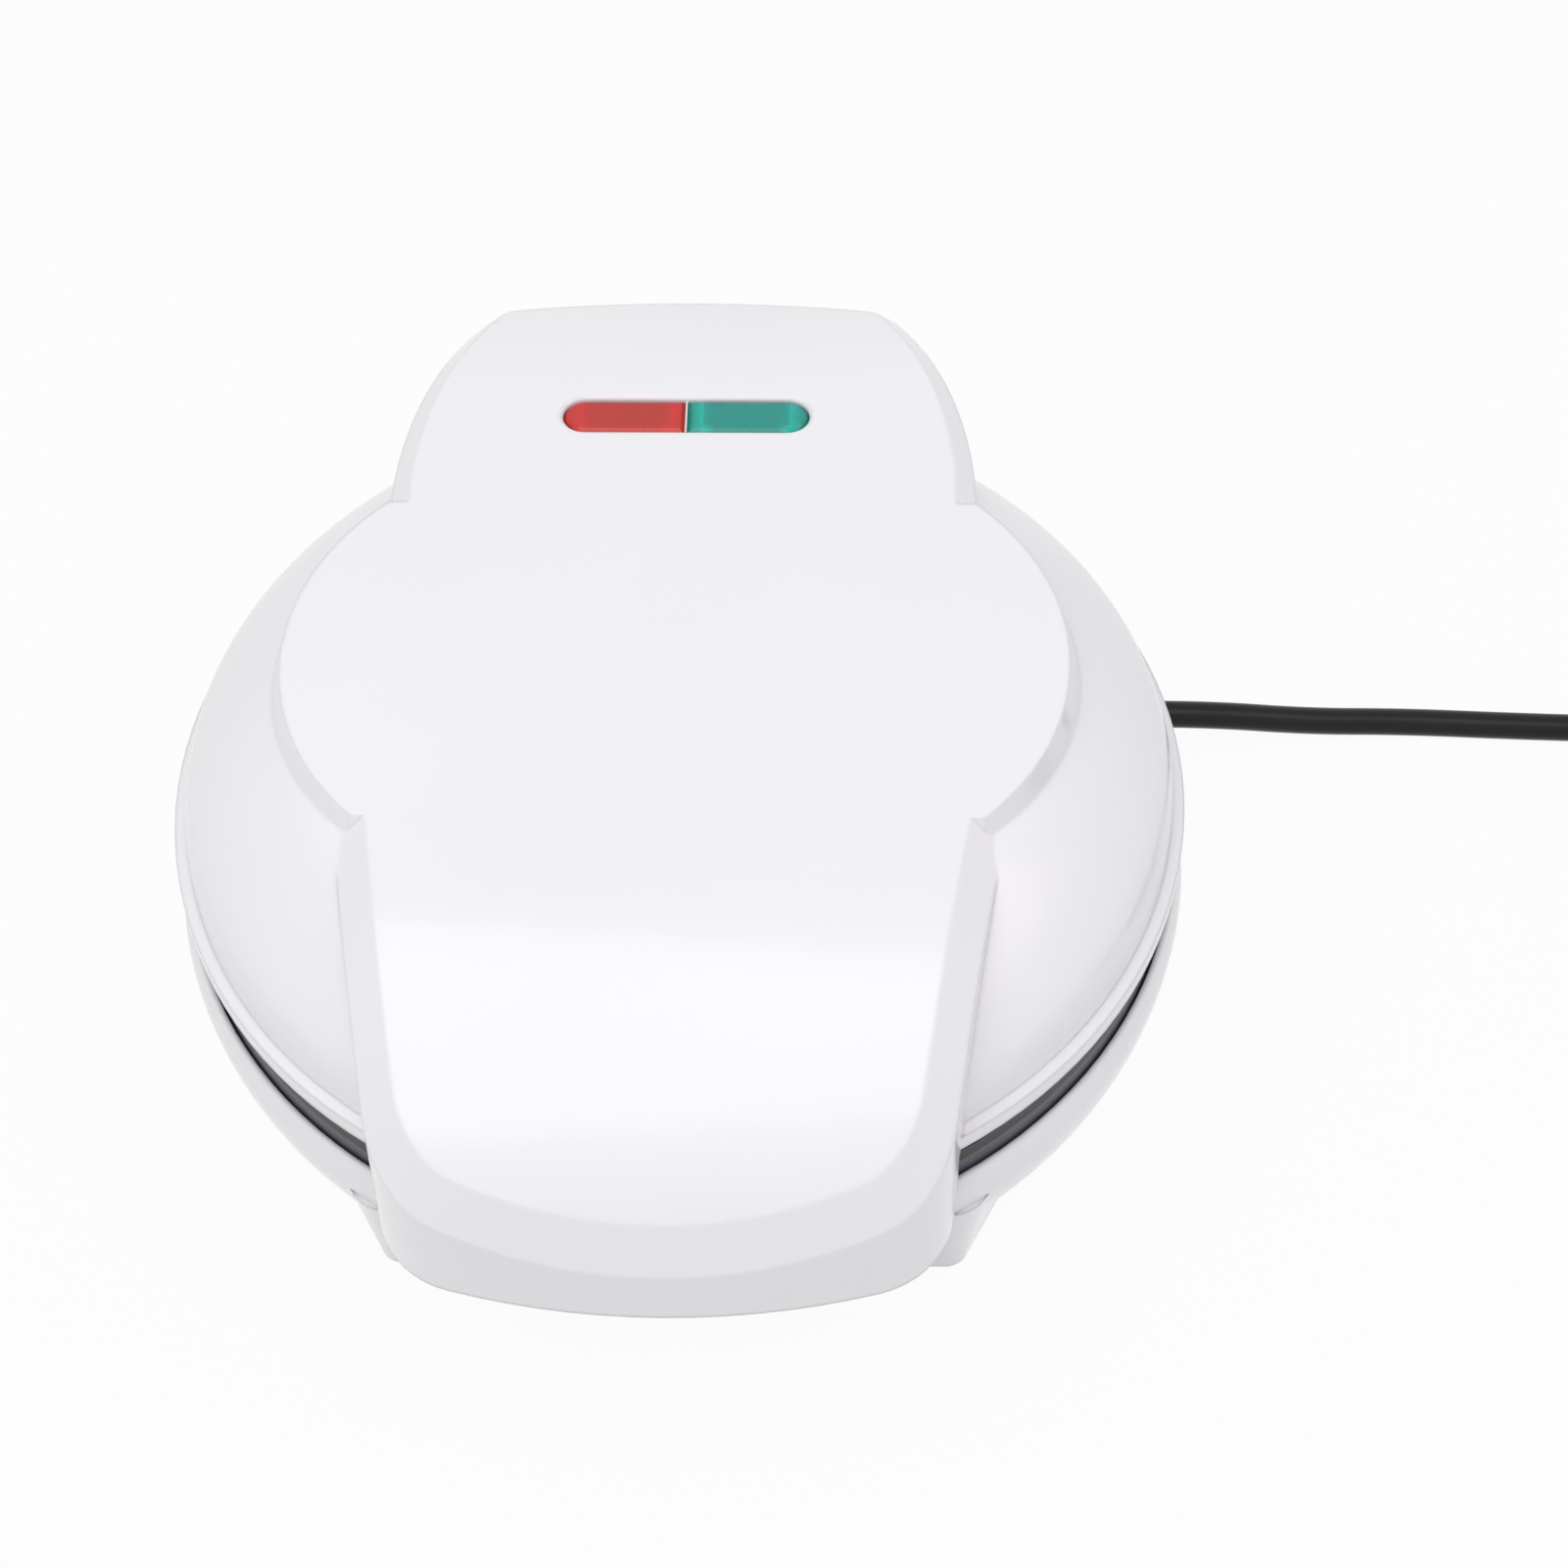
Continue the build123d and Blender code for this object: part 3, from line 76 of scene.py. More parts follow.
class Socket:
    """A shader socket, or a plain number, that can be used in ordinary arithmetic."""

    def __init__(self, maker: "Shader", link: object) -> None:
        """Keep the maker that adds nodes and the socket itself.

        Args:
            maker: The shader that new nodes are added to.
            link: A node's output socket.
        """
        self.maker = maker
        self.link = link

    def _maths(self, operation: str, first: object, second: object) -> "Socket":
        """Add one Math node.

        Args:
            operation: The Math node's operation.
            first: Left operand.
            second: Right operand.

        Returns:
            The result as a socket.
        """
        return self.maker.node("ShaderNodeMath", {"operation": operation}, {0: first, 1: second})

    def __add__(self, other: object) -> "Socket":
        """Sum."""
        return self._maths("ADD", self, other)

    def __radd__(self, other: object) -> "Socket":
        """Sum, from the right."""
        return self._maths("ADD", other, self)

    def __sub__(self, other: object) -> "Socket":
        """Difference."""
        return self._maths("SUBTRACT", self, other)

    def __rsub__(self, other: object) -> "Socket":
        """Difference, from the right."""
        return self._maths("SUBTRACT", other, self)

    def __mul__(self, other: object) -> "Socket":
        """Product."""
        return self._maths("MULTIPLY", self, other)

    def __rmul__(self, other: object) -> "Socket":
        """Product, from the right."""
        return self._maths("MULTIPLY", other, self)

    def __truediv__(self, other: object) -> "Socket":
        """Quotient."""
        return self._maths("DIVIDE", self, other)

    def __lt__(self, other: object) -> "Socket":
        """One where this is smaller, else nought."""
        return self._maths("LESS_THAN", self, other)

    def __gt__(self, other: object) -> "Socket":
        """One where this is larger, else nought."""
        return self._maths("GREATER_THAN", self, other)

    def absolute(self) -> "Socket":
        """Distance from nought."""
        return self._maths("ABSOLUTE", self, 0.0)

    def larger(self, other: object) -> "Socket":
        """The larger of two values."""
        return self._maths("MAXIMUM", self, other)


class Shader:
    """The node tree of a material or a world, filled through Python expressions."""

    def __init__(self, name: str, owner: bpy.types.ID | None = None) -> None:
        """Start an empty node tree.

        Args:
            name: The material's name.
            owner: A world to fill instead of a new material.
        """
        self.material = owner or bpy.data.materials.new(name)
        self.material.use_nodes = True
        self.tree = self.material.node_tree
        self.tree.nodes.clear()

    def node(self, kind: str, settings: dict, inputs: dict, output: object = 0) -> Socket:
        """Add any node: its settings first, then values or links on its sockets.

        Args:
            kind: The node's type.
            settings: Attribute names and values.
            inputs: Socket names or numbers, with values or Sockets.
            output: Name or number of the output that is returned.

        Returns:
            The chosen output.
        """
        made = self.tree.nodes.new(kind)
        for key, value in settings.items():
            setattr(made, key, value)
        for key, value in inputs.items():
            if isinstance(value, Socket):
                self.tree.links.new(value.link, made.inputs[key])
            else:
                made.inputs[key].default_value = value
        return Socket(self, made.outputs[output]) if len(made.outputs) else Socket(self, None)

    def background_rays(self) -> Socket:
        """One for the rays that show the background: camera, mirror and glass rays."""
        first = self.node("ShaderNodeLightPath", {}, {}, "Is Camera Ray")
        outputs = first.link.node.outputs
        glossy = Socket(self, outputs["Is Glossy Ray"])
        clear = Socket(self, outputs["Is Transmission Ray"])
        return first.larger(glossy).larger(clear)

    def place(self) -> Socket:
        """Object coordinates, in metres."""
        return self.node("ShaderNodeTexCoord", {}, {}, "Object")

    def axes(self) -> tuple[Socket, Socket, Socket]:
        """The three object coordinates one by one."""
        split = self.node("ShaderNodeSeparateXYZ", {}, {0: self.place()})
        made = split.link.node
        return tuple(Socket(self, made.outputs[i]) for i in range(3))

    def noise(
        self, scale: float, detail: float = 2.0, rough: float = 0.5, stretch: tuple = (1, 1, 1)
    ) -> Socket:
        """Soft noise from nought to one.

        Args:
            scale: Features per metre.
            detail: Octaves.
            rough: How strongly fine octaves count.
            stretch: Factor on each axis.

        Returns:
            The noise value.
        """
        where = self.node("ShaderNodeMapping", {}, {"Vector": self.place(), "Scale": stretch})
        inputs = {"Vector": where, "Scale": scale, "Detail": detail, "Roughness": rough}
        return self.node("ShaderNodeTexNoise", {}, inputs)

    def blend(self, amount: object, first: object, second: object) -> Socket:
        """Mix two colours.

        Args:
            amount: Nought gives the first, one the second.
            first: A colour or a socket.
            second: A colour or a socket.

        Returns:
            The mixed colour.
        """
        inputs = {MIX_FACTOR: amount, MIX_FIRST: first, MIX_SECOND: second}
        return self.node("ShaderNodeMix", {"data_type": "RGBA"}, inputs, MIX_RESULT)

    def relief(
        self, height: object, depth: float, strength: float = 1.0, under: Socket | None = None
    ) -> Socket:
        """A bump from a height.

        Args:
            height: The height's socket.
            depth: Real depth of the relief in metres.
            strength: How much of it counts.
            under: A normal that the bump is laid on.

        Returns:
            The bumped normal.
        """
        inputs = {"Height": height, "Distance": depth, "Strength": strength}
        if under is not None:
            inputs["Normal"] = under
        return self.node("ShaderNodeBump", {}, inputs)

    def edge(self, radius: float) -> Socket:
        """A normal that is rounded over at edges.

        Args:
            radius: Radius of the rounding in metres.

        Returns:
            The rounded normal.
        """
        return self.node("ShaderNodeBevel", {"samples": BEVEL_SAMPLES}, {"Radius": radius})

    def finish(self, **inputs: object) -> bpy.types.Material:
        """Close the tree with a Principled shader.

        Args:
            **inputs: Socket names with underscores for spaces, and their values.

        Returns:
            The finished material.
        """
        named = {key.replace("_", " "): value for key, value in inputs.items()}
        surface = self.node("ShaderNodeBsdfPrincipled", {}, named)
        self.node("ShaderNodeOutputMaterial", {}, {"Surface": surface})
        return self.material


def tone(red: float, green: float, blue: float) -> tuple[float, float, float, float]:
    """A display colour as the linear colour that Blender takes.

    Args:
        red: 0 to 255.
        green: 0 to 255.
        blue: 0 to 255.

    Returns:
        Linear red, green, blue and an alpha of one.
    """
    display = np.array([red, green, blue]) / 255
    # the usual display curve: a straight foot, then a power
    linear = np.where(display <= 0.04045, display / 12.92, ((display + 0.055) / 1.055) ** 2.4)
    return (*linear.tolist(), 1.0)


@dataclass(frozen=True)
class MouldedShell:
    """Glossy injection-moulded plastic with a faint flow ripple and softened edges."""

    name: str = "white_gloss"
    colour: tuple = tone(240, 240, 242)
    shade: tuple = tone(236, 235, 239)
    roughness: float = 0.2
    edge_radius: float = 1.6 * MM
    cloud_scale: float = 14
    cloud_spread: float = 0.04
    peel_scale: float = 420
    peel_depth: float = 0.02 * MM
    peel_strength: float = 0.25
    fine_scale: float = 2600
    fine_spread: float = 0.05
    index: float = 1.5
    coat: float = 0.15
    coat_roughness: float = 0.08

    def make(self) -> bpy.types.Material:
        """Build the material."""
        sh = Shader(self.name)
        cloud = sh.noise(self.cloud_scale, 3)
        peel = sh.noise(self.peel_scale)
        fine = sh.noise(self.fine_scale)
        fine_part = (fine - MIDDLE) * self.fine_spread
        cloud_part = (cloud - MIDDLE) * self.cloud_spread
        return sh.finish(
            Base_Color=sh.blend(cloud, self.shade, self.colour),
            Roughness=self.roughness + fine_part + cloud_part,
            Normal=sh.relief(peel, self.peel_depth, self.peel_strength, sh.edge(self.edge_radius)),
            IOR=self.index,
            Coat_Weight=self.coat,
            Coat_Roughness=self.coat_roughness,
        )


@dataclass(frozen=True)
class MouldedCover:
    """Plainer plastic with a fine spark-eroded grain."""

    name: str
    colour: tuple
    roughness: float = 0.5
    grain: float = 0.04 * MM
    edge_radius: float = 0.3 * MM
    dark_share: float = 0.88
    cloud_scale: float = 30
    cloud_weight: float = 0.6
    grain_scale: float = 1800
    grain_weight: float = 0.3
    grain_spread: float = 0.16
    grain_strength: float = 0.6

    def make(self) -> bpy.types.Material:
        """Build the material."""
        sh = Shader(self.name)
        grain = sh.noise(self.grain_scale, 3, 0.6)
        cloud = sh.noise(self.cloud_scale)
        dark = tuple(part * self.dark_share for part in self.colour[:3]) + (1.0,)
        mottle = cloud * self.cloud_weight + grain * self.grain_weight
        return sh.finish(
            Base_Color=sh.blend(mottle, dark, self.colour),
            Roughness=self.roughness + (grain - MIDDLE) * self.grain_spread,
            Normal=sh.relief(grain, self.grain, self.grain_strength, sh.edge(self.edge_radius)),
        )


@dataclass(frozen=True)
class NonStick:
    """Sprayed non-stick coating: fine speckle, a slight orange peel and, on one plate, a painted shadow
    under the lid's rim.
    """

    name: str
    colour: tuple
    speckle: tuple
    roughness: float = 0.38
    # colour of the painted shadow that the lid's rim casts on the upper half of the plate's side
    lid_rim_shadow: tuple | None = None
    skirt_r: float = 100.0 * MM
    skirt_z: tuple = (40.9 * MM, 43.7 * MM)
    speck_scale: float = 3200
    speck_level: float = 0.64
    speck_weight: float = 0.55
    cloud_scale: float = 20
    cloud_weight: float = 0.12
    peel_scale: float = 700
    peel_spread: float = 0.12
    peel_depth: float = 0.05 * MM
    peel_strength: float = 0.5
    edge_radius: float = 0.4 * MM
    metallic: float = 0.15

    def make(self) -> bpy.types.Material:
        """Build the material."""
        sh = Shader(self.name)
        specks = sh.noise(self.speck_scale, 2, 0.7)
        peel = sh.noise(self.peel_scale)
        cloud = sh.noise(self.cloud_scale, 3)
        mottle = (specks > self.speck_level) * self.speck_weight + cloud * self.cloud_weight
        colour = sh.blend(mottle, self.colour, self.speckle)
        if self.lid_rim_shadow:
            # painted shadow: the plate's side wall is darkened on its upper half, under the lid's rim
            x, y, z = sh.axes()
            outside = x * x + y * y > self.skirt_r * self.skirt_r
            bottom, top = self.skirt_z
            colour = sh.blend(outside * (z > bottom) * (z < top), colour, self.lid_rim_shadow)
        return sh.finish(
            Base_Color=colour,
            Roughness=self.roughness + (peel - MIDDLE) * self.peel_spread,
            Normal=sh.relief(peel, self.peel_depth, self.peel_strength, sh.edge(self.edge_radius)),
            Metallic=self.metallic,
        )


@dataclass(frozen=True)
class Metal:
    """Bare metal with drawn or rolled lines and faint stains."""

    name: str
    colour: tuple
    roughness: float
    stretch: tuple = (1.0, 14.0, 1.0)
    stain: tuple = tone(90, 84, 80)
    stain_amount: float = 0.25
    stain_level: float = 0.55
    stain_gain: float = 4
    cloud_scale: float = 45
    cloud_spread: float = 0.1
    line_scale: float = 260
    line_spread: float = 0.2
    line_depth: float = 0.02 * MM
    line_strength: float = 0.4
    edge_radius: float = 0.15 * MM

    def make(self) -> bpy.types.Material:
        """Build the material."""
        sh = Shader(self.name)
        lines = sh.noise(self.line_scale, 3, 0.6, self.stretch)
        cloud = sh.noise(self.cloud_scale, 4)
        over = (cloud > self.stain_level) * (cloud - self.stain_level)
        line_part = (lines - MIDDLE) * self.line_spread
        cloud_part = (cloud - MIDDLE) * self.cloud_spread
        return sh.finish(
            Base_Color=sh.blend(over * self.stain_gain * self.stain_amount, self.colour, self.stain),
            Roughness=self.roughness + line_part + cloud_part,
            Metallic=1.0,
            Normal=sh.relief(lines, self.line_depth, self.line_strength, sh.edge(self.edge_radius)),
        )


@dataclass(frozen=True)
class CordJacket:
    """Black PVC with a satin skin, a faint extrusion ripple and a little dust."""

    name: str = "cord_jacket"
    colour: tuple = tone(12, 11, 13)
    dust_colour: tuple = tone(34, 32, 36)
    roughness: float = 0.3
    specular: float = 0.28
    ripple_scale: float = 900
    ripple_spread: float = 0.14
    ripple_depth: float = 0.04 * MM
    ripple_strength: float = 0.5
    dust_scale: float = 150
    dust_level: float = 0.62
    dust_weight: float = 0.2
    dust_spread: float = 0.1

    def make(self) -> bpy.types.Material:
        """Build the material."""
        sh = Shader(self.name)
        ripple = sh.noise(self.ripple_scale, 2, 0.6)
        dust = sh.noise(self.dust_scale, 4, 0.65)
        dusty = (dust > self.dust_level) * self.dust_weight
        ripple_part = (ripple - MIDDLE) * self.ripple_spread
        dust_part = (dust - MIDDLE) * self.dust_spread
        return sh.finish(
            Base_Color=sh.blend(dusty, self.colour, self.dust_colour),
            Roughness=self.roughness + ripple_part + dust_part,
            Specular_IOR_Level=self.specular,
            Normal=sh.relief(ripple, self.ripple_depth, self.ripple_strength),
        )


@dataclass(frozen=True)
class TintedLens:
    """Tinted plastic over a lamp chamber.

    It is duller inside the chamber's rectangle, has a painted glow beside the rectangle's ends, is
    darker along the outline, and has a painted shadow under the slot's rear edge. The outline is where
    the squared distance from the slot's straight middle line passes the square of the rim's radius.
    """

    name: str
    bevel: tuple
    chamber: tuple
    # painted glow beside the chamber's ends
    glow: tuple
    # deep tone for the cloud and the outline, also the colour of the painted shadow under the slot's
    # rear edge
    deep_and_shadow: tuple
    chamber_x: float
    # strength of the painted shadow under the slot's rear edge
    painted_rear_shadow: float
    chamber_y: float = 73.7 * MM
    half_x: float = 9.3 * MM
    half_y: float = 3.5 * MM
    slot_y: float = 73.1 * MM
    arc_x: float = 21.5 * MM
    rim: float = 4.5 * MM
    end_width: float = 2.6 * MM
    end_weight: float = 0.9
    chamber_weight: float = 0.95
    chamber_at_end: float = 0.35
    cloud_scale: float = 500
    cloud_weight: float = 0.5
    grain_scale: float = 1500
    grain_stretch: tuple = (0.25, 1, 1)
    grain_spread: float = 0.06
    rear_gap: float = 0.55 * MM
    rim_weight: float = 0.55
    roughness: float = 0.16
    index: float = 1.49
    step_depth: float = 0.1 * MM
    step_strength: float = 0.25

    def make(self) -> bpy.types.Material:
        """Build the material."""
        sh = Shader(self.name)
        x, y, _ = sh.axes()
        beside = (x - self.chamber_x).absolute() - self.half_x
        inside = beside.larger((y - self.chamber_y).absolute() - self.half_y) < 0.0
        near_end = (1.0 - beside.absolute() / self.end_width).larger(0.0)
        past_arc = (x.absolute() - self.arc_x).larger(0.0)
        behind = y - self.slot_y
        rim = past_arc * past_arc + behind * behind > self.rim * self.rim
        # rear marks the painted shadow under the slot's rear edge
        rear = (behind > self.half_y + self.rear_gap) * (beside < 0.0)
        cloud = sh.noise(self.cloud_scale, 3)
        grain = sh.noise(self.grain_scale, 2, 0.6, self.grain_stretch)
        # the chamber's colour gives way beside its ends, where the painted glow shows
        chamber = inside * (self.chamber_weight - near_end * self.chamber_at_end)
        # painted glow: a lighter colour beside the chamber's ends
        body = sh.blend(near_end * self.end_weight, self.bevel, self.glow)
        body = sh.blend(chamber, body, self.chamber)
        body = sh.blend((cloud - MIDDLE).absolute() * self.cloud_weight, body, self.deep_and_shadow)
        # darker outline, and the painted shadow under the slot's rear edge
        body = sh.blend(rim * self.rim_weight + rear * self.painted_rear_shadow, body, self.deep_and_shadow)
        return sh.finish(
            Base_Color=body,
            Roughness=self.roughness + (grain - MIDDLE) * self.grain_spread,
            IOR=self.index,
            Normal=sh.relief(inside, self.step_depth, self.step_strength),
        )


class Fit(Enum):
    """How a node is dressed: as its CAD mesh, or as a smooth copy that stands for it."""

    KEEP = "keep"
    SMOOTH = "smooth"


def mesh_arrays(node: str) -> tuple[np.ndarray, np.ndarray]:
    """A CAD node's welded points and triangles.

    Args:
        node: The node's name.

    Returns:
        Points, and triangles as rows of three point numbers.
    """
    mesh = frame["nodes"][node].data
    points = np.empty(len(mesh.vertices) * 3)
    mesh.vertices.foreach_get("co", points)
    mesh.calc_loop_triangles()
    corners = np.empty(len(mesh.loop_triangles) * 3, dtype=np.int64)
    mesh.loop_triangles.foreach_get("vertices", corners)
    keys = np.round(points.reshape(-1, 3) / WELD).astype(np.int64)
    _, first, where = np.unique(keys, axis=0, return_index=True, return_inverse=True)
    welded = points.reshape(-1, 3)[first]
    faces = where.reshape(-1)[corners].reshape(-1, 3)
    # a triangle that the weld leaves with two corners in one point is dropped
    proper = (faces != np.roll(faces, 1, 1)).all(1)
    return welded, faces[proper]


def corner_normals(points: np.ndarray, faces: np.ndarray, split_degrees: float) -> np.ndarray:
    """Normals at every triangle corner.

    Each is the area-weighted mean over the triangles round the same point that turn away from the
    corner's own triangle by less than the split angle.

    Args:
        points: Welded points.
        faces: Triangles.
        split_degrees: Larger turns stay sharp.

    Returns:
        One unit normal per corner, in the order of the faces.
    """
    a, b, c = (points[faces[:, i]] for i in range(3))
    cross = np.cross(b - a, c - a)
    area = np.linalg.norm(cross, axis=1)
    flat = cross / np.maximum(area, TINY)[:, None]
    owner = faces.reshape(-1)
    face_of = np.repeat(np.arange(len(faces)), 3)
    order = np.argsort(owner, kind="stable")
    point, face = owner[order], face_of[order]
    total = cross[face].copy()
    limit = cos(radians(split_degrees))
    most = int(np.bincount(owner).max())
    for step in range(1, most):
        one = np.nonzero(point[step:] == point[:-step])[0]
        two = one + step
        near = (flat[face[one]] * flat[face[two]]).sum(1) > limit
        one, two = one[near], two[near]
        np.add.at(total, one, cross[face[two]])
        np.add.at(total, two, cross[face[one]])
    out = np.empty_like(total)
    out[order] = total / np.maximum(np.linalg.norm(total, axis=1), TINY)[:, None]
    return out


def add_mesh(
    name: str, points: np.ndarray, faces: list | np.ndarray, normals: np.ndarray | None = None
) -> bpy.types.Object:
    """Put arrays into a new object.

    Args:
        name: The object's name.
        points: Points in metres.
        faces: Rows of point numbers.
        normals: One normal per corner, or nothing for plain smooth shading.

    Returns:
        The new object.
    """
    mesh = bpy.data.meshes.new(name)
    rows = faces.tolist() if isinstance(faces, np.ndarray) else faces
    mesh.from_pydata(points.tolist(), [], rows)
    mesh.polygons.foreach_set("use_smooth", np.ones(len(mesh.polygons), dtype=bool))
    if normals is not None:
        mesh.normals_split_custom_set(normals.tolist())
    mesh.update()
    made = bpy.data.objects.new(name, mesh)
    bpy.context.scene.collection.objects.link(made)
    return made


def ring_faces(rows: int, columns: int) -> np.ndarray:
    """Quads between rings of points: point j of ring i joins its next neighbour and the ring below.

    Args:
        rows: How many rings.
        columns: Points in each ring.

    Returns:
        Quads as rows of four point numbers.
    """
    i, j = np.meshgrid(np.arange(rows - 1), np.arange(columns), indexing="ij")
    right = (j + 1) % columns
    here, below = i * columns, (i + 1) * columns
    return np.stack([here + j, here + right, below + right, below + j], -1).reshape(-1, 4)


def tube_skin(sections: np.ndarray) -> tuple[np.ndarray, list]:
    """A closed skin over rings of points, with a fan at each end.

    Args:
        sections: Rings by points by three.

    Returns:
        Points and faces.
    """
    rings, count, _ = sections.shape
    points = np.concatenate([sections.reshape(-1, 3), sections[:1].mean(1), sections[-1:].mean(1)])
    here = np.arange(count)
    after = (here + 1) % count
    first = np.full(count, rings * count)
    base = (rings - 1) * count
    start = np.stack([first, after, here], 1)
    end = np.stack([first + 1, base + here, base + after], 1)
    return points, ring_faces(rings, count).tolist() + start.tolist() + end.tolist()


@dataclass
class Dresser:
    """Gives CAD nodes their finishes, as they are or as smooth copies that stand for them."""

    made: dict = field(default_factory=dict)

    def material(self, finish: object) -> bpy.types.Material:
        """The finish's material, built once.

        Args:
            finish: A finish with a name and a make method.

        Returns:
            The material.
        """
        if finish.name not in self.made:
            self.made[finish.name] = finish.make()
        return self.made[finish.name]

    def dress(
        self, node: str, finish: object, fit: Fit = Fit.KEEP, split: float = SOFT_SPLIT
    ) -> bpy.types.Object:
        """Dress one node.

        Args:
            node: The CAD node.
            finish: Its finish.
            fit: Keep the CAD mesh, or replace it with a smooth copy.
            split: Turn in degrees above which an edge stays sharp.

        Returns:
            The object that shows.
        """
        material = self.material(finish)
        shown = frame["nodes"][node]
        if fit is Fit.SMOOTH:
            points, faces = mesh_arrays(node)
            shown = add_mesh(f"{node}_skin", points, faces, corner_normals(points, faces, split))
            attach(shown, body_name(node))
            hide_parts(node)
            slot_name(node)
        shown.data.materials.clear()
        shown.data.materials.append(material)
        log.info("%s wears %s", shown.name, finish.name)
        return shown


def body_name(node: str) -> str:
    """The body that a node belongs to.

    Args:
        node: The node's name.

    Returns:
        The body's name.
    """
    bodies = frame["record"]["behaviour"]["bodies"]
    return next(name for name, nodes in bodies.items() if node in nodes)


def slot_name(node: str) -> str:
    """The record's material slot of a node.

    Args:
        node: The node's name.

    Returns:
        The slot's name.
    """
    return next(part["material_slot"] for part in frame["record"]["subparts"] if part["node"] == node)


WHITE_GLOSS = MouldedShell()
WHITE_COVER = MouldedCover("white_cover", tone(228, 228, 231))
FOOT_RUBBER = MouldedCover("foot_rubber", tone(28, 28, 29), roughness=0.75, grain=0.06 * MM)
TAN_RESIN = MouldedCover("tan_resin", tone(138, 106, 72), roughness=0.6)
GLASS_SLEEVE = MouldedCover("glass_sleeve", tone(214, 208, 196), roughness=0.7, grain=0.08 * MM)
UPPER_COATING = NonStick("upper_coating", tone(30, 29, 31), tone(66, 64, 68))
# the lower plate's side is darkened on its upper half: painted shadow under the lid's rim
LOWER_COATING = NonStick(
    "lower_coating", tone(80, 76, 88), tone(114, 110, 120), lid_rim_shadow=tone(22, 21, 23)
)
SCREW_STEEL = Metal("screw_steel", tone(190, 192, 196), 0.3)
HEATER_STEEL = Metal(
    "heater_steel", tone(120, 112, 106), 0.42, stain=tone(66, 52, 46), stain_amount=0.7
)
SHIELD_SHEET = Metal("shield_sheet", tone(206, 207, 210), 0.28, stretch=(1.0, 8.0, 1.0))
BLADE_BRASS = Metal("blade_brass", tone(206, 178, 112), 0.25)
LAMP_GLASS = MouldedCover("lamp_glass", tone(236, 226, 210), roughness=0.12)
CORD_JACKET = CordJacket()
RED_TINT = TintedLens(
    "red_tint",
    bevel=tone(198, 44, 38),
    chamber=tone(184, 50, 44),
    glow=tone(212, 46, 40),
    deep_and_shadow=tone(112, 12, 14),
    chamber_x=-12.75 * MM,
    painted_rear_shadow=0.25,
)
GREEN_TINT = TintedLens(
    "green_tint",
    bevel=tone(14, 146, 132),
    chamber=tone(20, 144, 134),
    glow=tone(6, 184, 168),
    deep_and_shadow=tone(6, 56, 56),
    chamber_x=12.95 * MM,
    painted_rear_shadow=0.6,
)


@dataclass
class LidAssembly:
    """The turning half: shell, liners, upper plate with its heater, lenses and lamps."""

    dresser: Dresser

    def build(self) -> None:
        """Dress every node of the lid."""
        self.dresser.dress("lid_shell", WHITE_GLOSS, Fit.SMOOTH, CREASE_SPLIT)
        for node in ("handle_liner", "hinge_cover", "lamp_holder"):
            self.dresser.dress(node, WHITE_COVER)
        self.dresser.dress("upper_plate", UPPER_COATING, Fit.SMOOTH)
        for node in ("liner_screws", "upper_plate_screws", "upper_clamp_screws", "lamp_holder_screws"):
            self.dresser.dress(node, SCREW_STEEL, Fit.SMOOTH)
        self.dresser.dress("upper_heater", HEATER_STEEL, Fit.SMOOTH)
        self.dresser.dress("upper_heater_clamps", HEATER_STEEL)
        self.dresser.dress("upper_heat_shield", SHIELD_SHEET, Fit.SMOOTH)
        self.dresser.dress("lid_leads", GLASS_SLEEVE, Fit.SMOOTH)
        self.dresser.dress("neon_lamps", LAMP_GLASS, Fit.SMOOTH)


@dataclass
class LensRib:
    """The thin white rib that stands between the two lenses, in millimetres."""

    dresser: Dresser
    half: tuple = (0.22, 4.85, 2.0)
    middle: tuple = (0.0, 73.1, 85.75)

    def build(self) -> None:
        """Build the rib: its middle plus or minus its half sizes."""
        ends = (-1, 1)
        z, y, x = np.meshgrid(ends, ends, ends, indexing="ij")
        signs = np.stack([x, y, z], -1).reshape(-1, 3)
        points = (np.array(self.middle) + signs * np.array(self.half)) * MM
        faces = [[0, 2, 3, 1], [4, 5, 7, 6], [0, 1, 5, 4], [2, 6, 7, 3], [0, 4, 6, 2], [1, 3, 7, 5]]
        made = add_mesh("lens_rib", points, faces)
        made.data.polygons.foreach_set("use_smooth", np.zeros(len(faces), dtype=bool))
        made.data.materials.append(self.dresser.material(WHITE_COVER))
        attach(made, "lid")
        slot_name("lamp_holder")


@dataclass
class IndicatorLens:
    """One half of the split lens: a bevelled half stadium over its lamp chamber."""

    dresser: Dresser
    node: str
    finish: TintedLens

    def build(self) -> None:
        """Dress the lens."""
        self.dresser.dress(self.node, self.finish, Fit.SMOOTH, LENS_SPLIT)


